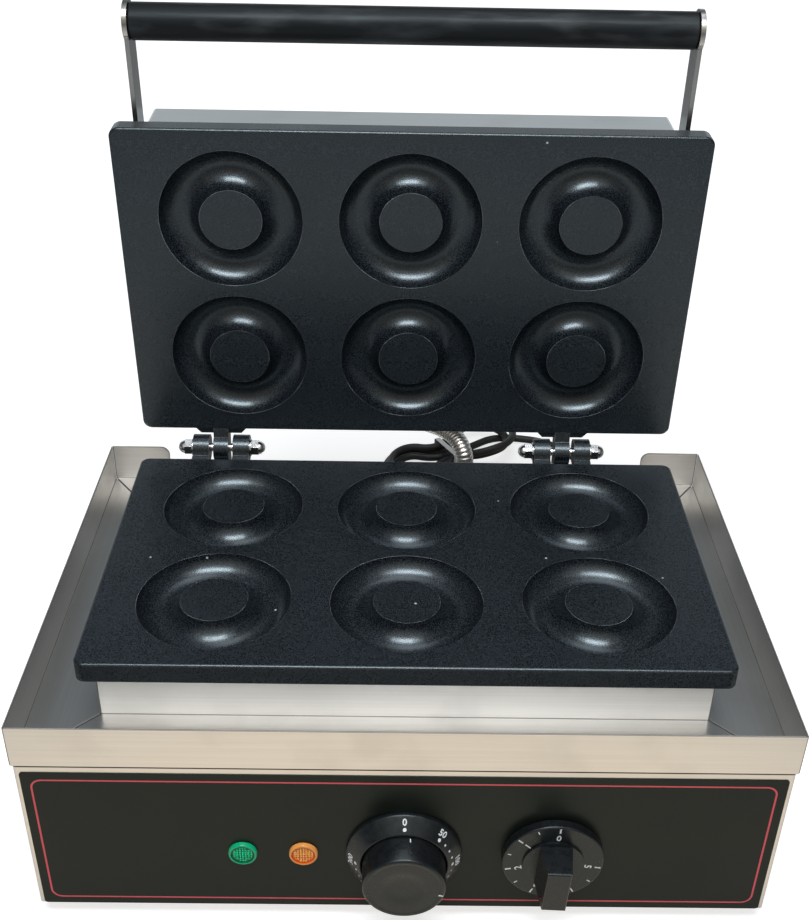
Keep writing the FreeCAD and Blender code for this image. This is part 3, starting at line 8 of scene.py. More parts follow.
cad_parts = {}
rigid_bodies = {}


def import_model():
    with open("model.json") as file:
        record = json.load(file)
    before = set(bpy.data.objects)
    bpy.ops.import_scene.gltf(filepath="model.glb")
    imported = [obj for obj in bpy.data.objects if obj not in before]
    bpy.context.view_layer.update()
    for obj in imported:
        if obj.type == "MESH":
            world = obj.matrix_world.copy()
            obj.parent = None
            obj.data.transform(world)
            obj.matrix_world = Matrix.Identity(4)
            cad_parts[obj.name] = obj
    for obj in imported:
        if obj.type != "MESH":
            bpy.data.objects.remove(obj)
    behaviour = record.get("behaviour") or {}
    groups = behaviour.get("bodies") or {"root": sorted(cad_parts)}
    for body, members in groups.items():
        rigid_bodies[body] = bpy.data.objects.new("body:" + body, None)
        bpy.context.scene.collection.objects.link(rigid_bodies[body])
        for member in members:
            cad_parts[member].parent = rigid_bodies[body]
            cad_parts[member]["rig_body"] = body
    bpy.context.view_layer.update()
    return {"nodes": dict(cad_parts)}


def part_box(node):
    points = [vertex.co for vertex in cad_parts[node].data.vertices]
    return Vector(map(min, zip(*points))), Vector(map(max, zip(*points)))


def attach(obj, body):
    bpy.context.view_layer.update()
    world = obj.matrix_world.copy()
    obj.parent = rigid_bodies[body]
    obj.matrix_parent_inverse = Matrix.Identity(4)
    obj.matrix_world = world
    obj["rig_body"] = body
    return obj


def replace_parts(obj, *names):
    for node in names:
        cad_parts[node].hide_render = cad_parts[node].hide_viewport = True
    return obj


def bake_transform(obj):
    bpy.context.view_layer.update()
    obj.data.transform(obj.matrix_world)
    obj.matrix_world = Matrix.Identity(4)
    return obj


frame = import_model()

# Folded body and tray: thin stainless sheet, cut, bent and tack welded. Each edge keeps the small round of
# its bend or deburring, so every sheet piece is the solid with its corners eased, under a fine long grain.

MERGE = 1e-6
FLAT_DEG = 0.4
CURVED_FACET_AREA = 3e-5
SHARP_DEG = 28.0


def mesh_of(name, shape, material=None):
    """The mesh of a finished bmesh, which is freed."""
    mesh = bpy.data.meshes.new(name)
    shape.to_mesh(mesh)
    shape.free()
    if material:
        mesh.materials.append(material)
    return mesh


def placed(name, data):
    """An object at the origin, put into the scene."""
    made = bpy.data.objects.new(name, data)
    bpy.context.scene.collection.objects.link(made)
    return made


def eased(node, ease, material, sharp_deg=SHARP_DEG):
    """A smooth copy of a solid with its sharp edges rounded by ease; it marks the rounded edge bands, which
    take wear on the plates and painted shade on the steel, and curved faces.
    """
    source = frame["nodes"][node]
    shape = bmesh.new()
    shape.from_mesh(source.data)
    bmesh.ops.remove_doubles(shape, verts=shape.verts, dist=MERGE)
    bmesh.ops.dissolve_limit(shape, angle_limit=math.radians(FLAT_DEG), verts=shape.verts, edges=shape.edges)
    corners = [e for e in shape.edges if e.is_manifold and e.calc_face_angle() > math.radians(sharp_deg)]
    edge_wear_and_shade = shape.faces.layers.float.new("edge_wear_and_shade")
    curved = shape.faces.layers.float.new("curved")
    for face in shape.faces:
        face[curved] = 1.0 if face.calc_area() < CURVED_FACET_AREA else 0.0
    bands = bmesh.ops.bevel(shape, geom=corners, offset=ease, offset_type="OFFSET", segments=2, profile=0.5,
                            affect="EDGES", clamp_overlap=True, material=-1)
    for face in bands["faces"]:
        face[edge_wear_and_shade] = 1.0
    bmesh.ops.triangulate(shape, faces=[f for f in shape.faces if len(f.verts) > 4])
    mesh = mesh_of(node + "_look", shape, material)
    mesh.shade_smooth()
    mesh.set_sharp_from_angle(angle=math.radians(sharp_deg))
    piece = placed(node + "_look", mesh)
    even = piece.modifiers.new("even_shading", "WEIGHTED_NORMAL")
    even.mode = "FACE_AREA"
    even.weight = 100
    even.keep_sharp = True
    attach(piece, source["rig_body"])
    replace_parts(piece, node)
    return piece


def finish(name, colour, metallic, roughness):
    """A material with its principled shader set to one plain finish, ready for its grain."""
    material = bpy.data.materials.new(name)
    material.use_nodes = True
    shader = material.node_tree.nodes["Principled BSDF"]
    shader.inputs["Base Color"].default_value = (*colour, 1.0)
    shader.inputs["Metallic"].default_value = metallic
    shader.inputs["Roughness"].default_value = roughness
    return material, material.node_tree, shader


def grain(tree, fineness, detail=4.0):
    """Noise on the piece's own coordinates; fineness is one scale, or one each for X, Y and Z."""
    place = tree.nodes.new("ShaderNodeTexCoord")
    scale = tree.nodes.new("ShaderNodeMapping")
    noise = tree.nodes.new("ShaderNodeTexNoise")
    scale.inputs["Scale"].default_value = fineness if isinstance(fineness, tuple) else (fineness,) * 3
    noise.inputs["Scale"].default_value = 1.0
    noise.inputs["Detail"].default_value = detail
    tree.links.new(place.outputs["Object"], scale.inputs["Vector"])
    tree.links.new(scale.outputs["Vector"], noise.inputs["Vector"])
    return noise.outputs["Fac"]


def spread(tree, value, low, high, start=0.3, end=0.7):
    """The value mapped from start..end onto low..high."""
    ranged = tree.nodes.new("ShaderNodeMapRange")
    for socket, number in (("From Min", start), ("From Max", end), ("To Min", low), ("To Max", high)):
        ranged.inputs[socket].default_value = number
    tree.links.new(value, ranged.inputs["Value"])
    return ranged.outputs["Result"]


FIRST_COLOUR, SECOND_COLOUR, MIXED_COLOUR = 6, 7, 2


def mixed(tree, amount, first, second):
    """A colour between two others, each given as a colour or as a link."""
    mix = tree.nodes.new("ShaderNodeMix")
    mix.data_type = "RGBA"
    for number, colour in ((FIRST_COLOUR, first), (SECOND_COLOUR, second)):
        if isinstance(colour, bpy.types.NodeSocket):
            tree.links.new(colour, mix.inputs[number])
        else:
            mix.inputs[number].default_value = (*colour, 1.0)
    tree.links.new(amount, mix.inputs[0])
    return mix.outputs[MIXED_COLOUR]


def tint(tree, shader, amount, first, second):
    """Base colour between two colours by amount."""
    tree.links.new(mixed(tree, amount, first, second), shader.inputs["Base Color"])


def relief(tree, shader, height, strength, distance):
    """Fine bumps on a finish, from a height."""
    bump = tree.nodes.new("ShaderNodeBump")
    bump.inputs["Strength"].default_value = strength
    bump.inputs["Distance"].default_value = distance
    tree.links.new(height, bump.inputs["Height"])
    tree.links.new(bump.outputs["Normal"], shader.inputs["Normal"])


def math_node(tree, operation, first, second=0.0):
    """The result of one step of arithmetic on numbers or links."""
    made = tree.nodes.new("ShaderNodeMath")
    made.operation = operation
    for socket, value in zip(made.inputs, (first, second)):
        if isinstance(value, (int, float)):
            socket.default_value = value
        else:
            tree.links.new(value, socket)
    return made.outputs[0]


def marked(tree, attribute):
    """One of the marks that eased() leaves on a piece's faces."""
    mark = tree.nodes.new("ShaderNodeAttribute")
    mark.attribute_name = attribute
    return mark.outputs["Fac"]


def own_axes(tree):
    """X, Y and Z in the piece's own coordinates."""
    place = tree.nodes.new("ShaderNodeTexCoord")
    parts = tree.nodes.new("ShaderNodeSeparateXYZ")
    tree.links.new(place.outputs["Object"], parts.inputs["Vector"])
    return parts.outputs


FOLD_SHADE_GREY = (0.20, 0.185, 0.17)
BEND_DULLING = 0.25
GRAIN_DARKER = 0.93
STAIN_DARKER = 0.8


def sheet_steel(name, colour, dull, stretch):
    """Rolled stainless sheet: long faint grain, faint stains, a slight waviness and dull bent edges darkened
    with painted shade.
    """
    material, tree, shader = finish(name, colour, 1.0, dull)
    waves = grain(tree, 6.0, 0.0)
    bent = marked(tree, "edge_wear_and_shade")
    smeared = spread(tree, waves, dull - 0.03, dull + 0.06, 0.15, 0.85)
    matt = math_node(tree, "MULTIPLY", bent, BEND_DULLING)
    tree.links.new(math_node(tree, "ADD", smeared, matt), shader.inputs["Roughness"])
    lines = spread(tree, grain(tree, stretch, 3.0), 0.0, 1.0)
    brushed = mixed(tree, lines, colour, [c * GRAIN_DARKER for c in colour])
    stains = spread(tree, grain(tree, 26.0, 5.0), 0.0, 0.5, 0.52, 0.74)
    stained = mixed(tree, stains, brushed, [c * STAIN_DARKER for c in colour])
    # Painted shade: the rounded bent edges are tinted towards a dark grey, standing in for shade in the
    # folds.
    tint(tree, shader, spread(tree, bent, 0.0, 0.75, 0.0, 1.0), stained, FOLD_SHADE_GREY)
    relief(tree, shader, waves, strength=0.03, distance=0.002)
    return material


TOP_BAND_SHADE = (0.03, 0.027, 0.024)
TOP_BAND_DULL = 0.7
BAND_FADE = 0.7


def dull_above(material, height, depth):
    """Darkens and dulls a material from just under a height upwards: painted shade, used under the tray's
    overhang and along the tray's top edges.
    """
    tree = material.node_tree
    shader = tree.nodes["Principled BSDF"]
    shade_band = spread(tree, own_axes(tree)["Z"], 0.0, 1.0, height - depth, height - BAND_FADE * depth)
    tint(tree, shader, shade_band, shader.inputs["Base Color"].links[0].from_socket, TOP_BAND_SHADE)
    plain = shader.inputs["Roughness"].links[0].from_socket
    rough = tree.nodes.new("ShaderNodeMix")
    rough.inputs["B"].default_value = TOP_BAND_DULL
    tree.links.new(shade_band, rough.inputs["Factor"])
    tree.links.new(plain, rough.inputs["A"])
    tree.links.new(rough.outputs["Result"], shader.inputs["Roughness"])


STEEL = (0.72, 0.705, 0.68)
STEEL_DULL = 0.308
ACROSS = (7.0, 700.0, 700.0)
FORE_AND_AFT = (700.0, 7.0, 700.0)
SEAM_SHADE_DEPTH = 0.0018
RIM_SHADE_DEPTH = 0.0016
SHEET_EASE = 0.00025
FOLD_EASE = 0.0004
housing_steel = sheet_steel("housing_steel", STEEL, STEEL_DULL, ACROSS)
# Painted shade: this finish is darkened from just under the housing's top upwards, a thin dark band where the
# tray's walls overhang the housing.
dull_above(housing_steel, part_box("base_housing")[1].z, SEAM_SHADE_DEPTH)
tray_steel = sheet_steel("tray_steel", STEEL, STEEL_DULL, ACROSS)
side_steel = sheet_steel("tray_side_steel", STEEL, STEEL_DULL, FORE_AND_AFT)
# Painted shade: a thin dark band along the top edges of the tray's walls, standing in for shade and a dark
# reflection there.
for material in (tray_steel, side_steel):
    dull_above(material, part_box("tray_front")[1].z, RIM_SHADE_DEPTH)
for node in ("base_housing", "bottom_plate", "lower_pan"):
    eased(node, SHEET_EASE, housing_steel)
for node in ("tray_front", "tray_back"):
    eased(node, FOLD_EASE, tray_steel)
for node in ("tray_left", "tray_right"):
    eased(node, FOLD_EASE, side_steel)

# Rubber feet: moulded black rubber cones, each with a sunk pan-head screw and a nut on the bottom plate.
# The rubber is matt with a fine mould texture; the screws are bright zinc.


def mottled(name, metallic, dull, first, second, fineness, detail=4.0):
    """A finish whose colour drifts between two, and whose dullness does too where a pair is given."""
    low, high = dull if isinstance(dull, tuple) else (dull, dull)
    material, tree, shader = finish(name, first, metallic, low)
    drift = grain(tree, fineness, detail)
    tint(tree, shader, drift, first, second)
    if high > low:
        tree.links.new(spread(tree, drift, low, high), shader.inputs["Roughness"])
    return material, tree, shader


rubber, tree, shader = finish("foot_rubber", (0.02, 0.02, 0.02), 0.0, 0.75)
relief(tree, shader, grain(tree, 1500.0), strength=0.25, distance=0.0003)
eased("rubber_feet", ease=0.0006, material=rubber)
zinc = mottled("bright_zinc", 1.0, (0.14, 0.32), (0.78, 0.79, 0.80), (0.60, 0.60, 0.60), 260.0)[0]
for node in ("foot_screws", "bush_nuts", "lower_studs", "lid_studs", "upper_clamp_nuts"):
    eased(node, ease=0.0002, material=zinc)

# Mould plates: cast aluminium with a baked black non-stick coat. The coat has a fine satin speckle, a few
# pale pin specks, and is rubbed to bright metal along the outer edge and the rims of the rings.

COAT_BLACK = (0.004, 0.006, 0.008)
COAT_DARK_FLECK = (0.002, 0.003, 0.0045)
COAT_PALE_FLECK = (0.022, 0.028, 0.035)
BARE_CASTING = (0.42, 0.44, 0.46)
GROOVE_POLISH = 0.03
PLATE_SHARP_DEG = 24.0
coat, tree, shader = finish("nonstick_coat", COAT_BLACK, 0.0, 0.3)
shader.inputs["Specular IOR Level"].default_value = 0.78
shader.inputs["Specular Tint"].default_value = (0.80, 0.93, 1.0, 1.0)
speckle = grain(tree, 1400.0, 1.0)
cloudy = spread(tree, grain(tree, 22.0), 0.0, 0.06)
satin = math_node(tree, "ADD", spread(tree, speckle, 0.22, 0.36), cloudy)
polish = math_node(tree, "MULTIPLY", marked(tree, "curved"), GROOVE_POLISH)
tree.links.new(math_node(tree, "SUBTRACT", satin, polish), shader.inputs["Roughness"])
relief(tree, shader, speckle, strength=0.12, distance=0.0004)
place = tree.nodes.new("ShaderNodeTexCoord")
pins = tree.nodes.new("ShaderNodeTexVoronoi")
pins.inputs["Scale"].default_value = 27.0
tree.links.new(place.outputs["Object"], pins.inputs["Vector"])
specks = spread(tree, pins.outputs["Distance"], 1.0, 0.0, 0.014, 0.024)
wear = spread(tree, grain(tree, 60.0), 0.12, 0.9, 0.4, 0.62)
rubbed = math_node(tree, "MULTIPLY", marked(tree, "edge_wear_and_shade"), wear)
flecks = mixed(tree, spread(tree, speckle, 0.0, 1.0, 0.48, 0.66), COAT_DARK_FLECK, COAT_PALE_FLECK)
tint(tree, shader, math_node(tree, "MAXIMUM", rubbed, specks), flecks, BARE_CASTING)
for node in ("lower_plate", "upper_plate"):
    eased(node, ease=0.0007, material=coat, sharp_deg=PLATE_SHARP_DEG)

# Heating: bent tube elements pressed into the plates' backs, held by clamp bars on studs, with mineral wool
# behind. The tubes are dulled by heat, and the wool is a pale soft felt.

FIBRES = (90.0, 700.0, 700.0)
FIBRE_DETAIL = 8.0
hot_tube = mottled("heat_dulled_tube", 1.0, (0.38, 0.6), (0.25, 0.23, 0.21), (0.10, 0.09, 0.09), 120.0)[0]
for node in ("lower_element", "upper_element", "lower_clamps", "upper_clamps"):
    eased(node, ease=0.0003, material=hot_tube)
wool, tree, shader = mottled("mineral_wool", 0.0, 0.95, (0.70, 0.66, 0.52), (0.50, 0.46, 0.36), FIBRES,
                             FIBRE_DETAIL)
relief(tree, shader, grain(tree, FIBRES, FIBRE_DETAIL), strength=0.6, distance=0.002)
for node in ("lower_insulation", "upper_insulation"):
    eased(node, ease=0.0008, material=wool)

# Hinges: two plain bolts through cast ears and tongues, with washers and domed nuts at both ends. All are
# bright plated steel, a little greasy, so the shine is broken. The lid's nuts and screws are plated alike.

plated = mottled("bright_plating", 1.0, (0.07, 0.22), (0.84, 0.84, 0.86), (0.66, 0.66, 0.67), 420.0, 5.0)[0]
for node in ("hinge_bolt_left", "hinge_bolt_right", "hinge_washers", "hinge_nuts", "lid_nuts", "strap_screws",
             "handle_screws"):
    eased(node, ease=0.00025, material=plated)

# Lid: a folded cover over the upper plate's back, with two flat straps screwed to its sides that carry the
# grip, a black tube over a steel core. The grip is matt with pale rubbed streaks.

GRIP_BLACK = (0.008, 0.009, 0.010)
GRIP_RUBBED = (0.045, 0.048, 0.050)
cover_steel = sheet_steel("cover_steel", (0.68, 0.69, 0.705), dull=0.30, stretch=(8.0, 900.0, 900.0))
eased("lid_cover", ease=0.0003, material=cover_steel)
strap_steel = sheet_steel("strap_steel", (0.46, 0.46, 0.44), dull=0.26, stretch=(900.0, 900.0, 10.0))
for node in ("handle_strap_left", "handle_strap_right", "handle_core"):
    eased(node, ease=0.00035, material=strap_steel)
grip_tube, tree, shader = finish("grip_black", GRIP_BLACK, 0.0, 0.42)
shader.inputs["Specular IOR Level"].default_value = 0.18
shader.inputs["Specular Tint"].default_value = (0.82, 0.94, 1.0, 1.0)
streaks = grain(tree, (18.0, 420.0, 420.0), 6.0)
rubs = spread(tree, grain(tree, (26.0, 90.0, 90.0), 5.0), 0.0, 1.0, 0.5, 0.8)
tint(tree, shader, rubs, GRIP_BLACK, GRIP_RUBBED)
tree.links.new(spread(tree, streaks, 0.34, 0.56), shader.inputs["Roughness"])
relief(tree, shader, streaks, strength=0.12, distance=0.0002)
eased("handle_grip", ease=0.0005, material=grip_tube)

# Front panel: a black film glued to the housing, with one thin red line printed round it just inside the
# edge. The line is drawn from the distance to a round-cornered frame, so it stays even all the way.

FILM_BLACK = (0.006, 0.008, 0.006)
PANEL_RED = (0.74, 0.10, 0.12)
PANEL_LINE_IN = 0.0056
PANEL_LINE_W = 0.0011
PANEL_LINE_R = 0.0060
film_low, film_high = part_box("control_overlay")
panel_front_y = film_low.y
film, tree, shader = finish("panel_film", FILM_BLACK, 0.0, 0.34)
shader.inputs["Specular IOR Level"].default_value = 0.22
shader.inputs["Specular Tint"].default_value = (0.78, 0.95, 0.92, 1.0)


def frame_line(tree, low, high, radius, width):
    """1 on a line of the given width along a round-cornered rectangle in X and Z, 0 elsewhere."""
    axes = own_axes(tree)
    sides = []
    for axis, least, most in (("X", low.x, high.x), ("Z", low.z, high.z)):
        off = math_node(tree, "ABSOLUTE", math_node(tree, "SUBTRACT", axes[axis], (least + most) / 2))
        sides.append(math_node(tree, "SUBTRACT", off, (most - least) / 2 - radius))
    outside = [math_node(tree, "MAXIMUM", side, 0.0) for side in sides]
    squares = [math_node(tree, "MULTIPLY", side, side) for side in outside]
    corner = math_node(tree, "SQRT", math_node(tree, "ADD", *squares))
    inside = math_node(tree, "MINIMUM", math_node(tree, "MAXIMUM", *sides), 0.0)
    distance = math_node(tree, "SUBTRACT", math_node(tree, "ADD", corner, inside), radius)
    return math_node(tree, "LESS_THAN", math_node(tree, "ABSOLUTE", distance), width / 2)


line_in = Vector((PANEL_LINE_IN, 0, PANEL_LINE_IN))
red_line = frame_line(tree, film_low + line_in, film_high - line_in, PANEL_LINE_R, PANEL_LINE_W)
tint(tree, shader, red_line, FILM_BLACK, PANEL_RED)
tree.links.new(spread(tree, grain(tree, 30.0, 6.0), 0.28, 0.42), shader.inputs["Roughness"])
relief(tree, shader, grain(tree, 900.0, 2.0), strength=0.05, distance=0.0002)
eased("control_overlay", ease=0.00012, material=film)

# Temperature control: a fixed conical dial ring, a turning grip and a disc let into its front, all moulded
# in black plastic. White numbers and dots are printed on the cone, and a white tick on the grip's side and
# another on its front rim.

moulded, tree, shader = mottled("moulded_black", 0.0, (0.22, 0.40), (0.005, 0.006, 0.007),
                                (0.011, 0.012, 0.013), 240.0, 6.0)
shader.inputs["Specular IOR Level"].default_value = 0.42
shader.inputs["Specular Tint"].default_value = (0.82, 0.95, 1.0, 1.0)
relief(tree, shader, grain(tree, 1800.0, 2.0), strength=0.08, distance=0.0002)
eased("temperature_dial", ease=0.0006, material=moulded)

TURNED_STEPS = 72
TURNED_SHARP_DEG = 50.0


def turned(name, body, profile, x, z, material):
    """A round piece from its half section, given as radius and place along Y, spun about a line along Y."""
    shape = bmesh.new()
    section = [shape.verts.new((x + radius, y, z)) for radius, y in profile]
    outline = [shape.edges.new(pair) for pair in zip(section, section[1:])]
    bmesh.ops.spin(shape, geom=section + outline, cent=(x, 0, z), axis=(0, 1, 0), angle=math.tau,
                   steps=TURNED_STEPS, use_merge=True)
    bmesh.ops.remove_doubles(shape, verts=shape.verts, dist=MERGE)
    bmesh.ops.recalc_face_normals(shape, faces=shape.faces)
    mesh = mesh_of(name, shape, material)
    mesh.shade_smooth()
    mesh.set_sharp_from_angle(angle=math.radians(TURNED_SHARP_DEG))
    piece = placed(name, mesh)
    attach(piece, body)
    return piece


def middle(low, high):
    """X and Z of the line along Y through a box's middle, and the box's half width."""
    return (low.x + high.x) / 2, (low.z + high.z) / 2, (high.x - low.x) / 2


GRIP_EASE = 0.0018
GRIP_EASE_STEPS = 6
GRIP_DRAFT = 0.0004
GRIP_HOLLOW = 0.002
GRIP_WALL = 0.002
GRIP_WALL_ROOT = 0.003
CAP_GAP = 0.00005
CAP_LIP = 0.0008
CAP_LIP_IN = 0.00012
CAP_DISH = ((1.0, 0.0), (0.90, 0.00003), (0.75, 0.00008), (0.62, 0.0002), (0.54, 0.0005), (0.45, 0.0008),
            (0.33, 0.0010), (0.15, 0.00105), (0.0, 0.0011))
grip_low, grip_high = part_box("temperature_knob")
cap_low, cap_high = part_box("temperature_cap")
grip_x, grip_z, grip_r = middle(grip_low, grip_high)
cap_r = middle(cap_low, cap_high)[2]
hollow_y = grip_high.y - GRIP_HOLLOW
grip_section = [(0.0, hollow_y), (grip_r - GRIP_WALL_ROOT, hollow_y), (grip_r - GRIP_WALL, grip_high.y),
                (grip_r, grip_high.y)]
for i in range(GRIP_EASE_STEPS + 1):
    turn = math.radians(90.0 * i / GRIP_EASE_STEPS)
    out = grip_r - GRIP_DRAFT - GRIP_EASE * (1 - math.cos(turn))
    grip_section.append((out, grip_low.y + GRIP_EASE * (1 - math.sin(turn))))
grip_section += [(cap_r + CAP_LIP, grip_low.y + CAP_LIP_IN), (cap_r + CAP_GAP, cap_low.y),
                 (cap_r + CAP_GAP, cap_high.y), (0.0, cap_high.y)]
grip = turned("temperature_grip", "temperature_control", grip_section, grip_x, grip_z, moulded)
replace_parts(grip, "temperature_knob")
cap_section = [(0.0, cap_high.y), (cap_r, cap_high.y)]
cap_section += [(cap_r * share, cap_low.y + depth) for share, depth in CAP_DISH]
cap = turned("temperature_disc", "temperature_control", cap_section, grip_x, grip_z, moulded)
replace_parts(cap, "temperature_cap")

PRINT_T = 0.00008
TYPE_PER_HEIGHT = 1.4
TYPE_BOLDER = 0.00010
DOT_SIDES = 14
paint = mottled("printed_white", 0.0, 0.5, (0.82, 0.82, 0.80), (0.68, 0.68, 0.66), 900.0)[0]


def printed(name, body, meshes):
    """One printed piece from several small meshes."""
    joined = bmesh.new()
    for mesh in meshes:
        joined.from_mesh(mesh)
        bpy.data.meshes.remove(mesh)
    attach(placed(name, mesh_of(name, joined, paint)), body)


def plain_mesh(curve):
    """The mesh of a text or a curve, which is then removed."""
    holder = placed(curve.name, curve)
    bpy.context.view_layer.update()
    mesh = bpy.data.meshes.new_from_object(holder.evaluated_get(bpy.context.evaluated_depsgraph_get()))
    bpy.data.objects.remove(holder)
    bpy.data.curves.remove(curve)
    return mesh


def numeral(number, height):
    """A number as a flat mesh centred on the origin, in X and Y, with a little thickness."""
    letters = bpy.data.curves.new("numeral", "FONT")
    letters.body = str(number)
    letters.size = height * TYPE_PER_HEIGHT
    letters.align_x = "CENTER"
    letters.align_y = "CENTER"
    letters.extrude = PRINT_T
    letters.offset = TYPE_BOLDER
    letters.resolution_u = 2
    return plain_mesh(letters)


def dot(size):
    shape = bmesh.new()
    bmesh.ops.create_cone(shape, cap_ends=True, segments=DOT_SIDES, radius1=size / 2, radius2=size / 2,
                          depth=2 * PRINT_T)
    return mesh_of("dot", shape)


def bar(width, length):
    shape = bmesh.new()
    bmesh.ops.create_cube(shape, size=1.0, matrix=Matrix.Diagonal((width, length, 2 * PRINT_T, 1.0)))
    return mesh_of("bar", shape)


DIAL_R = 0.0332
DIAL_LIP_R = 0.0255
DIAL_EDGE_H = 0.0024
DIAL_TOP_H = 0.0100
DIAL_NUMERAL_H = 0.0038
DIAL_NUMERAL_R = 0.0304
DIAL_DOT_R = 0.0276
DIAL_DOT = 0.0021
DIAL_SMALL_DOT = 0.0013
DIAL_STEP = 50
DIAL_STEP_DEG = 45.0
DIAL_LAST = 6
dial_low, dial_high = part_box("temperature_dial")
dial_x, dial_z = middle(dial_low, dial_high)[:2]


def onto_dial(mesh, clock_deg, radius):
    """Bends a flat mark onto the dial's cone, at a clock angle and a radius, its top pointing outwards."""
    slope = (DIAL_TOP_H - DIAL_EDGE_H) / (DIAL_R - DIAL_LIP_R)
    run = math.sqrt(1 + slope ** 2)
    for v in mesh.vertices:
        r = radius + v.co.y / run
        angle = math.radians(clock_deg) + v.co.x / radius
        height = DIAL_EDGE_H + (DIAL_R - r) * slope + v.co.z + PRINT_T / 2
        v.co = (dial_x + r * math.sin(angle), panel_front_y - height, dial_z + r * math.cos(angle))
    return mesh


dial_marks = []
for i in range(DIAL_LAST + 1):
    clock = DIAL_STEP_DEG * i
    dial_marks.append(onto_dial(numeral(DIAL_STEP * i, DIAL_NUMERAL_H), clock, DIAL_NUMERAL_R))
    dial_marks.append(onto_dial(dot(DIAL_DOT), clock, DIAL_DOT_R))
    if 0 < i < DIAL_LAST:
        dial_marks += [onto_dial(dot(DIAL_SMALL_DOT), clock + DIAL_STEP_DEG * quarter / 4, DIAL_DOT_R)
                       for quarter in (1, 2, 3)]
printed("dial_numbers", "base", dial_marks)


def facing(x, z, clock_deg, out, front_y):
    """Turns a flat mark to the front and sets it at a clock angle and a distance from a line along Y."""
    turn = Matrix.Rotation(math.radians(clock_deg), 4, "Y")
    stand = Matrix.Translation((0, front_y, out)) @ Matrix.Rotation(math.radians(90), 4, "X")
    return Matrix.Translation((x, 0, z)) @ turn @ stand


SIDE_TICK = (0.0006, 0.0024)
SIDE_TICK_DEG = 8.0
SIDE_TICK_SUNK = 0.00015
SIDE_TICK_AHEAD = 0.0018
RIM_TICK = (0.0009, 0.0026)
RIM_TICK_DEG = 103.0
RIM_TICK_R = 0.0212
side_tick = bar(*SIDE_TICK)
turn = Matrix.Rotation(math.radians(SIDE_TICK_DEG), 4, "Y")
stand = Matrix.Translation((0, dial_low.y - SIDE_TICK_AHEAD, grip_r - SIDE_TICK_SUNK))
side_tick.transform(Matrix.Translation((dial_x, 0, dial_z)) @ turn @ stand)
rim_tick = bar(*RIM_TICK)
rim_tick.transform(facing(dial_x, dial_z, RIM_TICK_DEG, RIM_TICK_R, grip_low.y))
printed("grip_marks", "temperature_control", [side_tick, rim_tick])

# Timer knob: a moulded disc with a low boss and a tapered bar to turn it by. Its scale runs backwards,
# printed in white on the disc, and turns with it.

TIMER_ZERO_DEG = 5.0
TIMER_STEP_DEG = 53.4
TIMER_LAST = 5
TIMER_FACE_H = 0.0065
TIMER_LONG_MARK = (0.0009, 0.0034)
TIMER_SHORT_MARK = (0.0006, 0.0022)
TIMER_MARK_R = 0.0260
TIMER_NUMERAL_H = 0.0042
TIMER_NUMERAL_R = 0.0200
eased("timer_knob", ease=0.0009, material=moulded)
timer_x, timer_z = middle(*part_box("timer_knob"))[:2]
timer_face_y = panel_front_y - TIMER_FACE_H
timer_marks = []
for i in range(2 * TIMER_LAST + 1):
    clock = TIMER_ZERO_DEG - TIMER_STEP_DEG * i / 2
    mark = bar(*(TIMER_SHORT_MARK if i % 2 else TIMER_LONG_MARK))
    mark.transform(facing(timer_x, timer_z, clock, TIMER_MARK_R, timer_face_y))
    timer_marks.append(mark)
    if i % 2 == 0:
        number = numeral(i // 2, TIMER_NUMERAL_H)
        number.transform(facing(timer_x, timer_z, clock, TIMER_NUMERAL_R, timer_face_y))
        timer_marks.append(number)
printed("timer_numbers", "timer_control", timer_marks)

# Signal lamps: one-piece lenses in clear green and orange plastic, with a fine prismatic grid pressed into
# the face, each held behind the panel by a plastic ring nut.

LENS_BARREL = 0.72
LENS_SEAT = 0.0002
LENS_BACK = 0.0009
LENS_DEPTH = 0.0011
LENS_RIM = ((0.95, 0.0002), (0.88, 0.0), (0.82, 0.0002), (0.79, 0.0010), (0.74, LENS_DEPTH),
            (0.0, LENS_DEPTH))
LENS_CELLS = 9
LENS_GRID = 0.72
LENS_FACE = 0.68
LENS_CELL_IN = 0.00032
LENS_CELL_H = 0.0004
LENS_DOTS = 620.0
LENS_DOTS_UNEVEN = 0.15
LENS_RIM_SHADE = 0.55


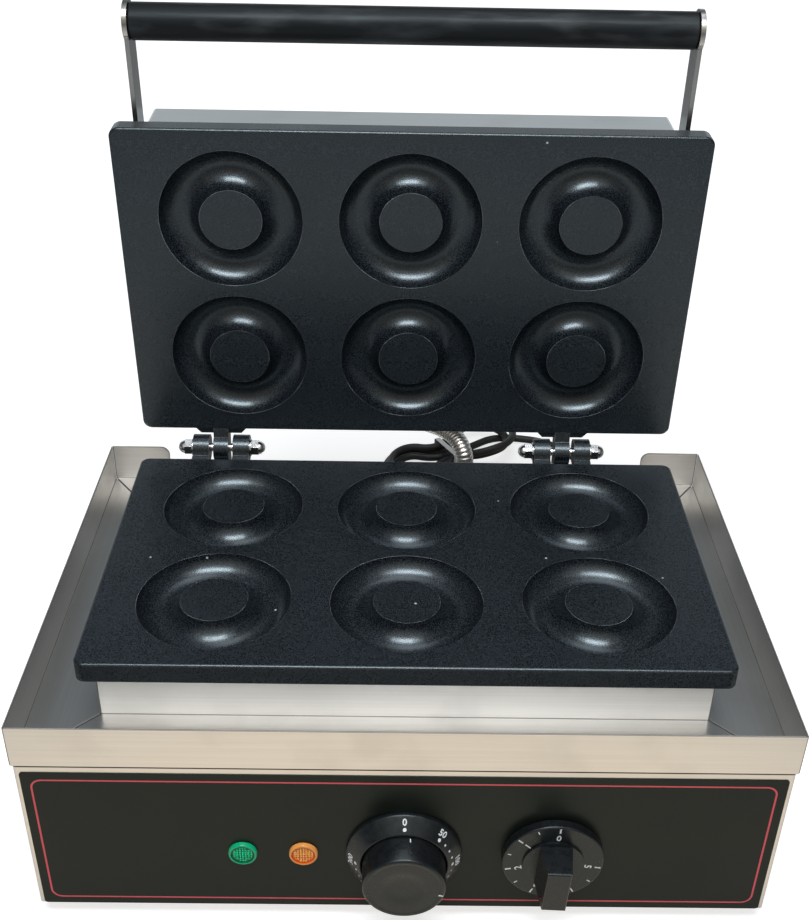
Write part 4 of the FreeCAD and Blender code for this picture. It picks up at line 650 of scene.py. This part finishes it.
def lens(name, shaded_colour, light, x, z, r):
    """Clear coloured plastic about a line along Y: a middling rim, a groove and a face of pale dots, with
    painted shade in the groove, on the rim and between the dots.
    """
    material, tree, shader = finish(name, light, 0.0, 0.1)
    place = tree.nodes.new("ShaderNodeTexCoord")
    centred = tree.nodes.new("ShaderNodeMapping")
    centred.inputs["Location"].default_value = (-x, 0.0, -z)
    centred.inputs["Scale"].default_value = (1.0, 0.0, 1.0)
    tree.links.new(place.outputs["Object"], centred.inputs["Vector"])
    reach = tree.nodes.new("ShaderNodeVectorMath")
    reach.operation = "LENGTH"
    tree.links.new(centred.outputs["Vector"], reach.inputs[0])
    dots = tree.nodes.new("ShaderNodeTexVoronoi")
    dots.inputs["Scale"].default_value = LENS_DOTS
    dots.inputs["Randomness"].default_value = LENS_DOTS_UNEVEN
    tree.links.new(centred.outputs["Vector"], dots.inputs["Vector"])
    between_dots = spread(tree, dots.outputs["Distance"], 0.0, 1.0, 0.22, 0.55)
    on_face = spread(tree, reach.outputs["Value"], 1.0, 0.0, LENS_FACE * r, LENS_GRID * r)
    into_groove = spread(tree, reach.outputs["Value"], 0.0, 1.0, 0.66 * r, LENS_GRID * r)
    up_the_rim = spread(tree, reach.outputs["Value"], 1.0, LENS_RIM_SHADE, 0.80 * r, 0.86 * r)
    groove = math_node(tree, "MULTIPLY", into_groove, up_the_rim)
    # Painted shade: the darker colour fills the groove, part of the rim and the lines between the face's
    # dots.
    painted_shade = math_node(tree, "MAXIMUM", math_node(tree, "MULTIPLY", between_dots, on_face), groove)
    tint(tree, shader, painted_shade, light, shaded_colour)
    shader.inputs["Specular IOR Level"].default_value = 0.2
    shader.inputs["Coat Weight"].default_value = 0.15
    shader.inputs["Coat Roughness"].default_value = 0.05
    return material


def signal_lamp(node, name, shaded_colour, light):
    """A round lens with a raised ring, a groove and a face of small pressed pyramids."""
    low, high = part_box(node)
    x, z, r = middle(low, high)
    seat_y = panel_front_y + LENS_SEAT
    material = lens(name + "_clear", shaded_colour, light, x, z, r)
    section = [(0.0, high.y), (LENS_BARREL * r, high.y), (LENS_BARREL * r, seat_y), (r, seat_y),
               (r, low.y + LENS_BACK)]
    section += [(share * r, low.y + depth) for share, depth in LENS_RIM]
    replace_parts(turned(name, "base", section, x, z, material), node)
    cells = bmesh.new()
    bmesh.ops.create_grid(cells, x_segments=LENS_CELLS, y_segments=LENS_CELLS, size=LENS_GRID * r)
    outside = [f for f in cells.faces if f.calc_center_median().length > LENS_FACE * r]
    bmesh.ops.delete(cells, geom=outside, context="FACES")
    bmesh.ops.inset_individual(cells, faces=cells.faces, thickness=LENS_CELL_IN, depth=LENS_CELL_H,
                               use_even_offset=True)
    turn = Matrix.Translation((x, low.y + LENS_DEPTH, z)) @ Matrix.Rotation(math.radians(90), 4, "X")
    bmesh.ops.transform(cells, matrix=turn, verts=cells.verts)
    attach(placed(name + "_face", mesh_of(name + "_face", cells, material)), "base")


signal_lamp("green_lamp", "green_lens", shaded_colour=(0.0003, 0.09, 0.035), light=(0.008, 0.80, 0.36))
signal_lamp("orange_lamp", "orange_lens", shaded_colour=(0.66, 0.075, 0.006), light=(1.0, 0.64, 0.17))
eased("lamp_nuts", ease=0.0003, material=moulded)

# Inside the body: the thermostat and the timer behind the panel, each with a steel shaft and held by a nut
# on its bush in front; the copper bulb and its thin line, a white terminal block and sleeved wires.

for node in ("thermostat", "timer"):
    eased(node, ease=0.0005, material=moulded)
for node in ("thermostat_shaft", "timer_shaft"):
    eased(node, ease=0.0003, material=zinc)
copper = mottled("bare_copper", 1.0, 0.3, (0.78, 0.42, 0.25), (0.42, 0.22, 0.14), 160.0)[0]
eased("thermostat_bulb", ease=0.0002, material=copper)
ceramic = mottled("white_block", 0.0, 0.4, (0.78, 0.77, 0.73), (0.66, 0.65, 0.60), 60.0)[0]
eased("terminal_block", ease=0.0006, material=ceramic)
sleeve = mottled("wire_sleeve", 0.0, 0.6, (0.66, 0.62, 0.54), (0.50, 0.46, 0.40), 300.0)[0]
eased("base_wires", ease=0.0002, material=sleeve)

# Conduit: a bright flexible metal hose that carries the lid's wires over the hinge, screwed into a hexagon
# gland at each end. It is wound in close ribs.

HOSE_R = 0.0063
HOSE_ROOT_R = 0.0057
HOSE_RIB = 0.0024
HOSE_SHOULDER_R = 0.98 * HOSE_R
RIB_SECTION = ((0.05, HOSE_ROOT_R), (0.23, HOSE_SHOULDER_R), (0.45, HOSE_R), (0.67, HOSE_R),
               (0.89, HOSE_SHOULDER_R))
HOSE_SIDES = 28
HOSE_SHARP_DEG = 75.0
HOSE_SMOOTHNESS = 24
HOSE_BENDS = ((0.0420, 0.1190, 0.1500), (0.0415, 0.1185, 0.1665), (0.0350, 0.1300, 0.1735),
              (0.0225, 0.1430, 0.1740), (0.0050, 0.1560, 0.1715), (-0.0075, 0.1615, 0.1740))
tray_shift = Vector((0, (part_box("tray_front")[0].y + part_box("tray_back")[1].y) / 2, 0))
for node in ("conduit_gland_base", "conduit_gland_lid"):
    eased(node, ease=0.0004, material=plated)


def smooth_curve(name, points, smoothness):
    """A curve of one smooth open spline whose control points are given."""
    curve = bpy.data.curves.new(name, "CURVE")
    curve.dimensions = "3D"
    curve.resolution_u = smoothness
    spline = curve.splines.new("NURBS")
    spline.points.add(len(points) - 1)
    for point, place in zip(spline.points, points):
        point.co = (*place, 1.0)
    spline.order_u = 3
    spline.use_endpoint_u = True
    return curve


def along(line, distance):
    """The place and direction at a distance along a line of points."""
    for a, b in zip(line, line[1:]):
        step = (b - a).length
        if distance <= step or b is line[-1]:
            return a + (b - a) * (distance / step), (b - a).normalized()
        distance -= step


gland_low, gland_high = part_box("conduit_gland_base")
hose_foot = (gland_low + gland_high) / 2
hose_foot.z = gland_high.z
gland_low, gland_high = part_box("conduit_gland_lid")
hose_head = (gland_low + gland_high) / 2
hose_head.z = gland_low.z
hose_points = [hose_foot] + [Vector(bend) + tray_shift for bend in HOSE_BENDS] + [hose_head]
line_mesh = plain_mesh(smooth_curve("hose_line", hose_points, HOSE_SMOOTHNESS))
hose_line = [v.co.copy() for v in line_mesh.vertices]
bpy.data.meshes.remove(line_mesh)
hose_length = sum((b - a).length for a, b in zip(hose_line, hose_line[1:]))
stations = [(0.0, HOSE_ROOT_R)]
for i in range(int(hose_length / HOSE_RIB)):
    stations += [(min(hose_length, (i + share) * HOSE_RIB), radius) for share, radius in RIB_SECTION]
tube = bmesh.new()
ring = bmesh.ops.create_circle(tube, segments=HOSE_SIDES, radius=1.0)["verts"]
edges = list({e for v in ring for e in v.link_edges})
loop = [(v, v.co.copy()) for v in ring]
for distance, radius in stations:
    if distance > 0.0:
        made = bmesh.ops.extrude_edge_only(tube, edges=edges)["geom"]
        edges = [g for g in made if isinstance(g, bmesh.types.BMEdge)]
        fresh = [g for g in made if isinstance(g, bmesh.types.BMVert)]
        loop = [(v, min(loop, key=lambda pair: (pair[0].co - v.co).length_squared)[1]) for v in fresh]
    centre, ahead = along(hose_line, distance)
    across = Vector((1, 0, 0)).cross(ahead).normalized()
    axes = Matrix((across.cross(ahead), across, ahead)).transposed()
    for v, place in loop:
        v.co = centre + axes @ (place * radius)
bmesh.ops.recalc_face_normals(tube, faces=tube.faces)
hose_metal = mottled("hose_metal", 1.0, (0.26, 0.40), (0.88, 0.87, 0.84), (0.70, 0.68, 0.64), 90.0, 5.0)[0]
hose_mesh = mesh_of("conduit_hose", tube, hose_metal)
hose_mesh.shade_smooth()
hose_mesh.set_sharp_from_angle(angle=math.radians(HOSE_SHARP_DEG))
hose = placed("conduit_hose", hose_mesh)
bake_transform(hose)
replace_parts(hose, "conduit")

# Mains cord: a black rubber lead that drops from a tapered strain relief to the table behind the body,
# where its spare length is folded into a tied hank. It ends in a round moulded plug.

CORD_D = 0.0070
CORD_SMOOTHNESS = 8
CORD_EXIT = Vector((0.150, 0.1815, 0.057))
CORD_FALL = ((0.0, 0.024, 0.0), (0.001, 0.0505, -0.018), (0.004, 0.0775, -0.041))
CORD_LIE = ((0.010, 0.1065), (0.019, 0.1365), (0.022, 0.1685), (0.015, 0.1985), (-0.003, 0.2185),
            (-0.022, 0.229))
HANK_CENTRE = Vector((0.0414, 0.375, 0.0))
HANK_TURN = math.radians(30.0)
HANK_END = 0.0381
HANK_REACH = 0.050
HANK_STEP = 0.0076
HANK_LIFT = 0.0044
HANK_TILT = 0.0090
HANK_RADII = (0.0176, 0.0214, 0.0252, 0.0310, 0.0310, 0.0252)
HANK_LAYERS = (0, 0, 0, 0, 1, 1)
HANK_START = (0.0280, 0.0036)
HANK_START_WAY = math.radians(189.8)
HANK_LEAD_IN = 0.034
HANK_LEAVE = math.radians(250.0)
HANK_LEAD_OFF = 0.024
HANK_SLACK = Vector((0.0065, -0.0115, 0.0))
FLOOR_Z = CORD_D / 2
PLUG_Z = 0.018
PLUG_RUN = ((0.004, -0.045, 0.0065), (0.020, -0.066, FLOOR_Z), (0.023, -0.095, 0.006),
            (0.015, -0.123, PLUG_Z), (0.0083, -0.145, PLUG_Z))
ARC_STEP = math.radians(18.0)


def hank_place(x, y, z):
    """From the hank's own axes to the table; its slack end is drawn towards the body."""
    c, s = math.cos(HANK_TURN), math.sin(HANK_TURN)
    slack = HANK_SLACK * max(0.0, -x / HANK_END) ** 2 / 3
    return HANK_CENTRE + slack + Vector((x * c - y * s, x * s + y * c, z))


def hank_height(x, layer):
    share = max(0.0, min(1.0, x / HANK_END))
    return HANK_LIFT + layer * HANK_STEP + HANK_TILT * share ** 2 * (3 - 2 * share)


def arc_points(cx, cy, radius, start, sweep, layers):
    """Control points round an arc, set out a little so that the smooth line keeps the radius."""
    count = max(2, round(abs(sweep) / ARC_STEP))
    step = sweep / count
    out = radius / math.cos(step / 2)
    points = []
    for i in range(count):
        angle = start + step * (i + 0.5)
        x = cx + out * math.cos(angle)
        layer = layers[0] + (layers[1] - layers[0]) * (i + 0.5) / count
        points.append(hank_place(x, cy + out * math.sin(angle), hank_height(x, layer)))
    return points


def waist_of(i):
    """Side, centre and radius of the drawn-in run between two ends."""
    r0, r1 = HANK_RADII[i], HANK_RADII[i + 1]
    side = 1 if i % 2 == 0 else -1
    radius = HANK_REACH - (r0 + r1) / 2
    shift = ((radius + r0) ** 2 - (radius + r1) ** 2) / (4 * HANK_END)
    return side, -side * shift, side * math.sqrt((radius + r0) ** 2 - (HANK_END + shift) ** 2), radius


def hank_line():
    """Control points of all the loops, one drawn-in run and one end at a time."""
    points = []
    runs = len(HANK_RADII) - 1
    for i in range(runs):
        side, wx, wy, radius = waist_of(i)
        start = math.atan2(-wy, side * HANK_END - wx) if i > 0 else -math.pi / 2
        end = math.atan2(-wy, -side * HANK_END - wx)
        points += arc_points(wx, wy, radius, start, -((start - end) % math.tau), HANK_LAYERS[i:i + 2])
        centre = -side * HANK_END
        enter = math.atan2(wy, wx - centre)
        leave = HANK_LEAVE
        if i + 1 < runs:
            next_x, next_y = waist_of(i + 1)[1:3]
            leave = math.atan2(next_y, next_x - centre)
        sweep = (leave - enter) % math.tau
        points += arc_points(centre, 0.0, HANK_RADII[i + 1], enter, sweep, (HANK_LAYERS[i + 1],) * 2)
    return points


hank_way = HANK_START_WAY + HANK_TURN
hank_start = hank_place(*HANK_START, HANK_LIFT)
lead = [CORD_EXIT] + [CORD_EXIT + Vector(step) for step in CORD_FALL]
lead += [Vector((CORD_EXIT.x + x, CORD_EXIT.y + y, FLOOR_Z)) for x, y in CORD_LIE]
lead += [hank_start - Vector((math.cos(hank_way), math.sin(hank_way), 0)) * HANK_LEAD_IN, hank_start]
leave_x = HANK_RADII[-1] * math.cos(HANK_LEAVE) - HANK_END
leave_y = HANK_RADII[-1] * math.sin(HANK_LEAVE)
leave_z = hank_height(leave_x, HANK_LAYERS[-1])
off_x, off_y = -HANK_LEAD_OFF * math.sin(HANK_LEAVE), HANK_LEAD_OFF * math.cos(HANK_LEAVE)
tail = [hank_place(leave_x, leave_y, leave_z), hank_place(leave_x + off_x, leave_y + off_y, leave_z)]
tail += [hank_place(*place) for place in PLUG_RUN]
cord_curve = smooth_curve("mains_cord", [p + tray_shift for p in lead + hank_line() + tail], CORD_SMOOTHNESS)
cord_curve.bevel_depth = CORD_D / 2
cord_curve.bevel_resolution = 6
cord_curve.use_fill_caps = True
cord_rubber, tree, shader = mottled("cord_rubber", 0.0, (0.34, 0.58), (0.014, 0.014, 0.015),
                                    (0.040, 0.040, 0.041), 220.0, 6.0)
relief(tree, shader, grain(tree, 1400.0), strength=0.1, distance=0.0002)
cord_curve.materials.append(cord_rubber)
cord = placed("mains_cord", cord_curve)
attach(cord, "base")
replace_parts(cord, "mains_lead", "cord_hank", "cord_end")
strain_relief = eased("cord_relief", ease=0.0005, material=cord_rubber)
plug = eased("mains_plug", ease=0.0005, material=cord_rubber)
tie_white = mottled("tie_white", 0.0, 0.35, (0.82, 0.82, 0.80), (0.66, 0.66, 0.64), 300.0)[0]
tie = eased("cord_tie", ease=0.0001, material=tie_white)

# Studio: a pale table that fades to white, soft lamps above and in front, and a dim warm room behind the
# camera that the steel mirrors. The camera stands where the photograph was taken from.

TABLE_HALF = 12.0
TABLE_GREY = (0.56, 0.56, 0.56)
WHITE = (1.0, 1.0, 1.0)
WARM_GLOW = (0.46, 0.31, 0.12)
table_white, tree, shader = finish("table_white", TABLE_GREY, 0.0, 0.9)
shader.inputs["Specular IOR Level"].default_value = 0.0
path = tree.nodes.new("ShaderNodeLightPath")
tree.links.new(mixed(tree, path.outputs["Is Camera Ray"], WARM_GLOW, WHITE), shader.inputs["Emission Color"])
place = tree.nodes.new("ShaderNodeTexCoord")
reach = tree.nodes.new("ShaderNodeVectorMath")
reach.operation = "LENGTH"
tree.links.new(place.outputs["Object"], reach.inputs[0])
in_front = spread(tree, own_axes(tree)["Y"], 1.0, 0.12, -0.22, -0.12)
near = math_node(tree, "MULTIPLY", spread(tree, reach.outputs["Value"], 1.0, 0.0, 0.36, 0.60), in_front)
mirrored = math_node(tree, "MULTIPLY", path.outputs["Is Glossy Ray"], near)
paler = spread(tree, reach.outputs["Value"], 0.70, 0.95, 0.5, 1.6)
fading = math_node(tree, "MULTIPLY", path.outputs["Is Camera Ray"], paler)
tree.links.new(math_node(tree, "MAXIMUM", fading, mirrored), shader.inputs["Emission Strength"])
sheet = bmesh.new()
bmesh.ops.create_grid(sheet, x_segments=1, y_segments=1, size=TABLE_HALF)
placed("table", mesh_of("table", sheet, table_white))


def soft_lamp(name, place, aim, size, power, colour):
    """A rectangular lamp that shines from a place towards an aim."""
    light = bpy.data.lights.new(name, "AREA")
    light.shape = "RECTANGLE"
    light.size, light.size_y = size
    light.energy = power
    light.color = colour
    lamp = placed(name, light)
    lamp.location = place
    lamp.rotation_euler = (Vector(aim) - Vector(place)).to_track_quat("-Z", "Y").to_euler()


soft_lamp("above", place=(-0.05, -0.72, 1.66), aim=(0, 0.02, 0.2), size=(1.00, 0.50), power=26.0,
          colour=(0.93, 0.97, 1.0))
soft_lamp("overhead", place=(0.10, 0.30, 1.90), aim=(0, 0, 0.2), size=(0.8, 0.8), power=5.0,
          colour=(0.95, 0.98, 1.0))

BEHIND_LOW, BEHIND_HIGH = (0.88, 0.97, 1.0), (0.12, 0.135, 0.15)
BEFORE_LOW, BEFORE_HIGH = (0.42, 0.36, 0.29), (0.82, 0.79, 0.74)
SIDE_DARK = (0.10, 0.105, 0.11)
SOFT_FILL = (0.20, 0.21, 0.22)
world = bpy.data.worlds.new("studio")
world.use_nodes = True
bpy.context.scene.world = world
tree = world.node_tree
path = tree.nodes.new("ShaderNodeLightPath")
place = tree.nodes.new("ShaderNodeTexCoord")
parts = tree.nodes.new("ShaderNodeSeparateXYZ")
tree.links.new(place.outputs["Generated"], parts.inputs["Vector"])
high_up = spread(tree, parts.outputs["Z"], 0.0, 1.0, 0.32, 0.46)
to_the_front = spread(tree, parts.outputs["Y"], 1.0, 0.0, -0.45, 0.05)
aside = spread(tree, math_node(tree, "ABSOLUTE", parts.outputs["X"]), 0.0, 1.0, 0.40, 0.80)
behind = mixed(tree, high_up, BEHIND_LOW, BEHIND_HIGH)
before = mixed(tree, high_up, BEFORE_LOW, BEFORE_HIGH)
room = mixed(tree, aside, mixed(tree, to_the_front, behind, before), SIDE_DARK)
mirrored = math_node(tree, "MAXIMUM", path.outputs["Is Glossy Ray"], path.outputs["Is Transmission Ray"])
lighting = mixed(tree, mirrored, SOFT_FILL, room)
backdrop = mixed(tree, path.outputs["Is Camera Ray"], lighting, WHITE)
tree.links.new(backdrop, tree.nodes["Background"].inputs["Color"])
bpy.context.scene.view_settings.view_transform = "Standard"

CAMERA_PLACE = Vector((-0.00901, -0.61975, 0.61863))
CAMERA_PITCH = math.radians(31.677)
CAMERA_YAW = math.radians(-0.753)
CAMERA_ROLL = math.radians(1.160)
SENSOR_MM = 36.0
IMAGE_W, IMAGE_H = 810.0, 920.0
FOCAL_PX = 1221.67
CENTRE_PX = (407.1, 455.9)
UP = Vector((0, 0, 1))
level = Vector((math.cos(CAMERA_YAW), math.sin(CAMERA_YAW), 0))
ahead = Vector((-math.sin(CAMERA_YAW), math.cos(CAMERA_YAW), 0))
view = ahead * math.cos(CAMERA_PITCH) - UP * math.sin(CAMERA_PITCH)
upright = ahead * math.sin(CAMERA_PITCH) + UP * math.cos(CAMERA_PITCH)
right = level * math.cos(CAMERA_ROLL) + upright * math.sin(CAMERA_ROLL)
upward = upright * math.cos(CAMERA_ROLL) - level * math.sin(CAMERA_ROLL)
optics = bpy.data.cameras.new("camera")
optics.sensor_width = SENSOR_MM
optics.lens = FOCAL_PX / IMAGE_H * SENSOR_MM
optics.shift_x = (IMAGE_W / 2 - CENTRE_PX[0]) / IMAGE_H
optics.shift_y = (CENTRE_PX[1] - IMAGE_H / 2) / IMAGE_H
optics.clip_start = 0.01
camera = placed("camera", optics)
axes = Matrix((right, upward, -view)).transposed().to_4x4()
camera.matrix_world = Matrix.Translation(CAMERA_PLACE + tray_shift) @ axes
bpy.context.scene.camera = camera
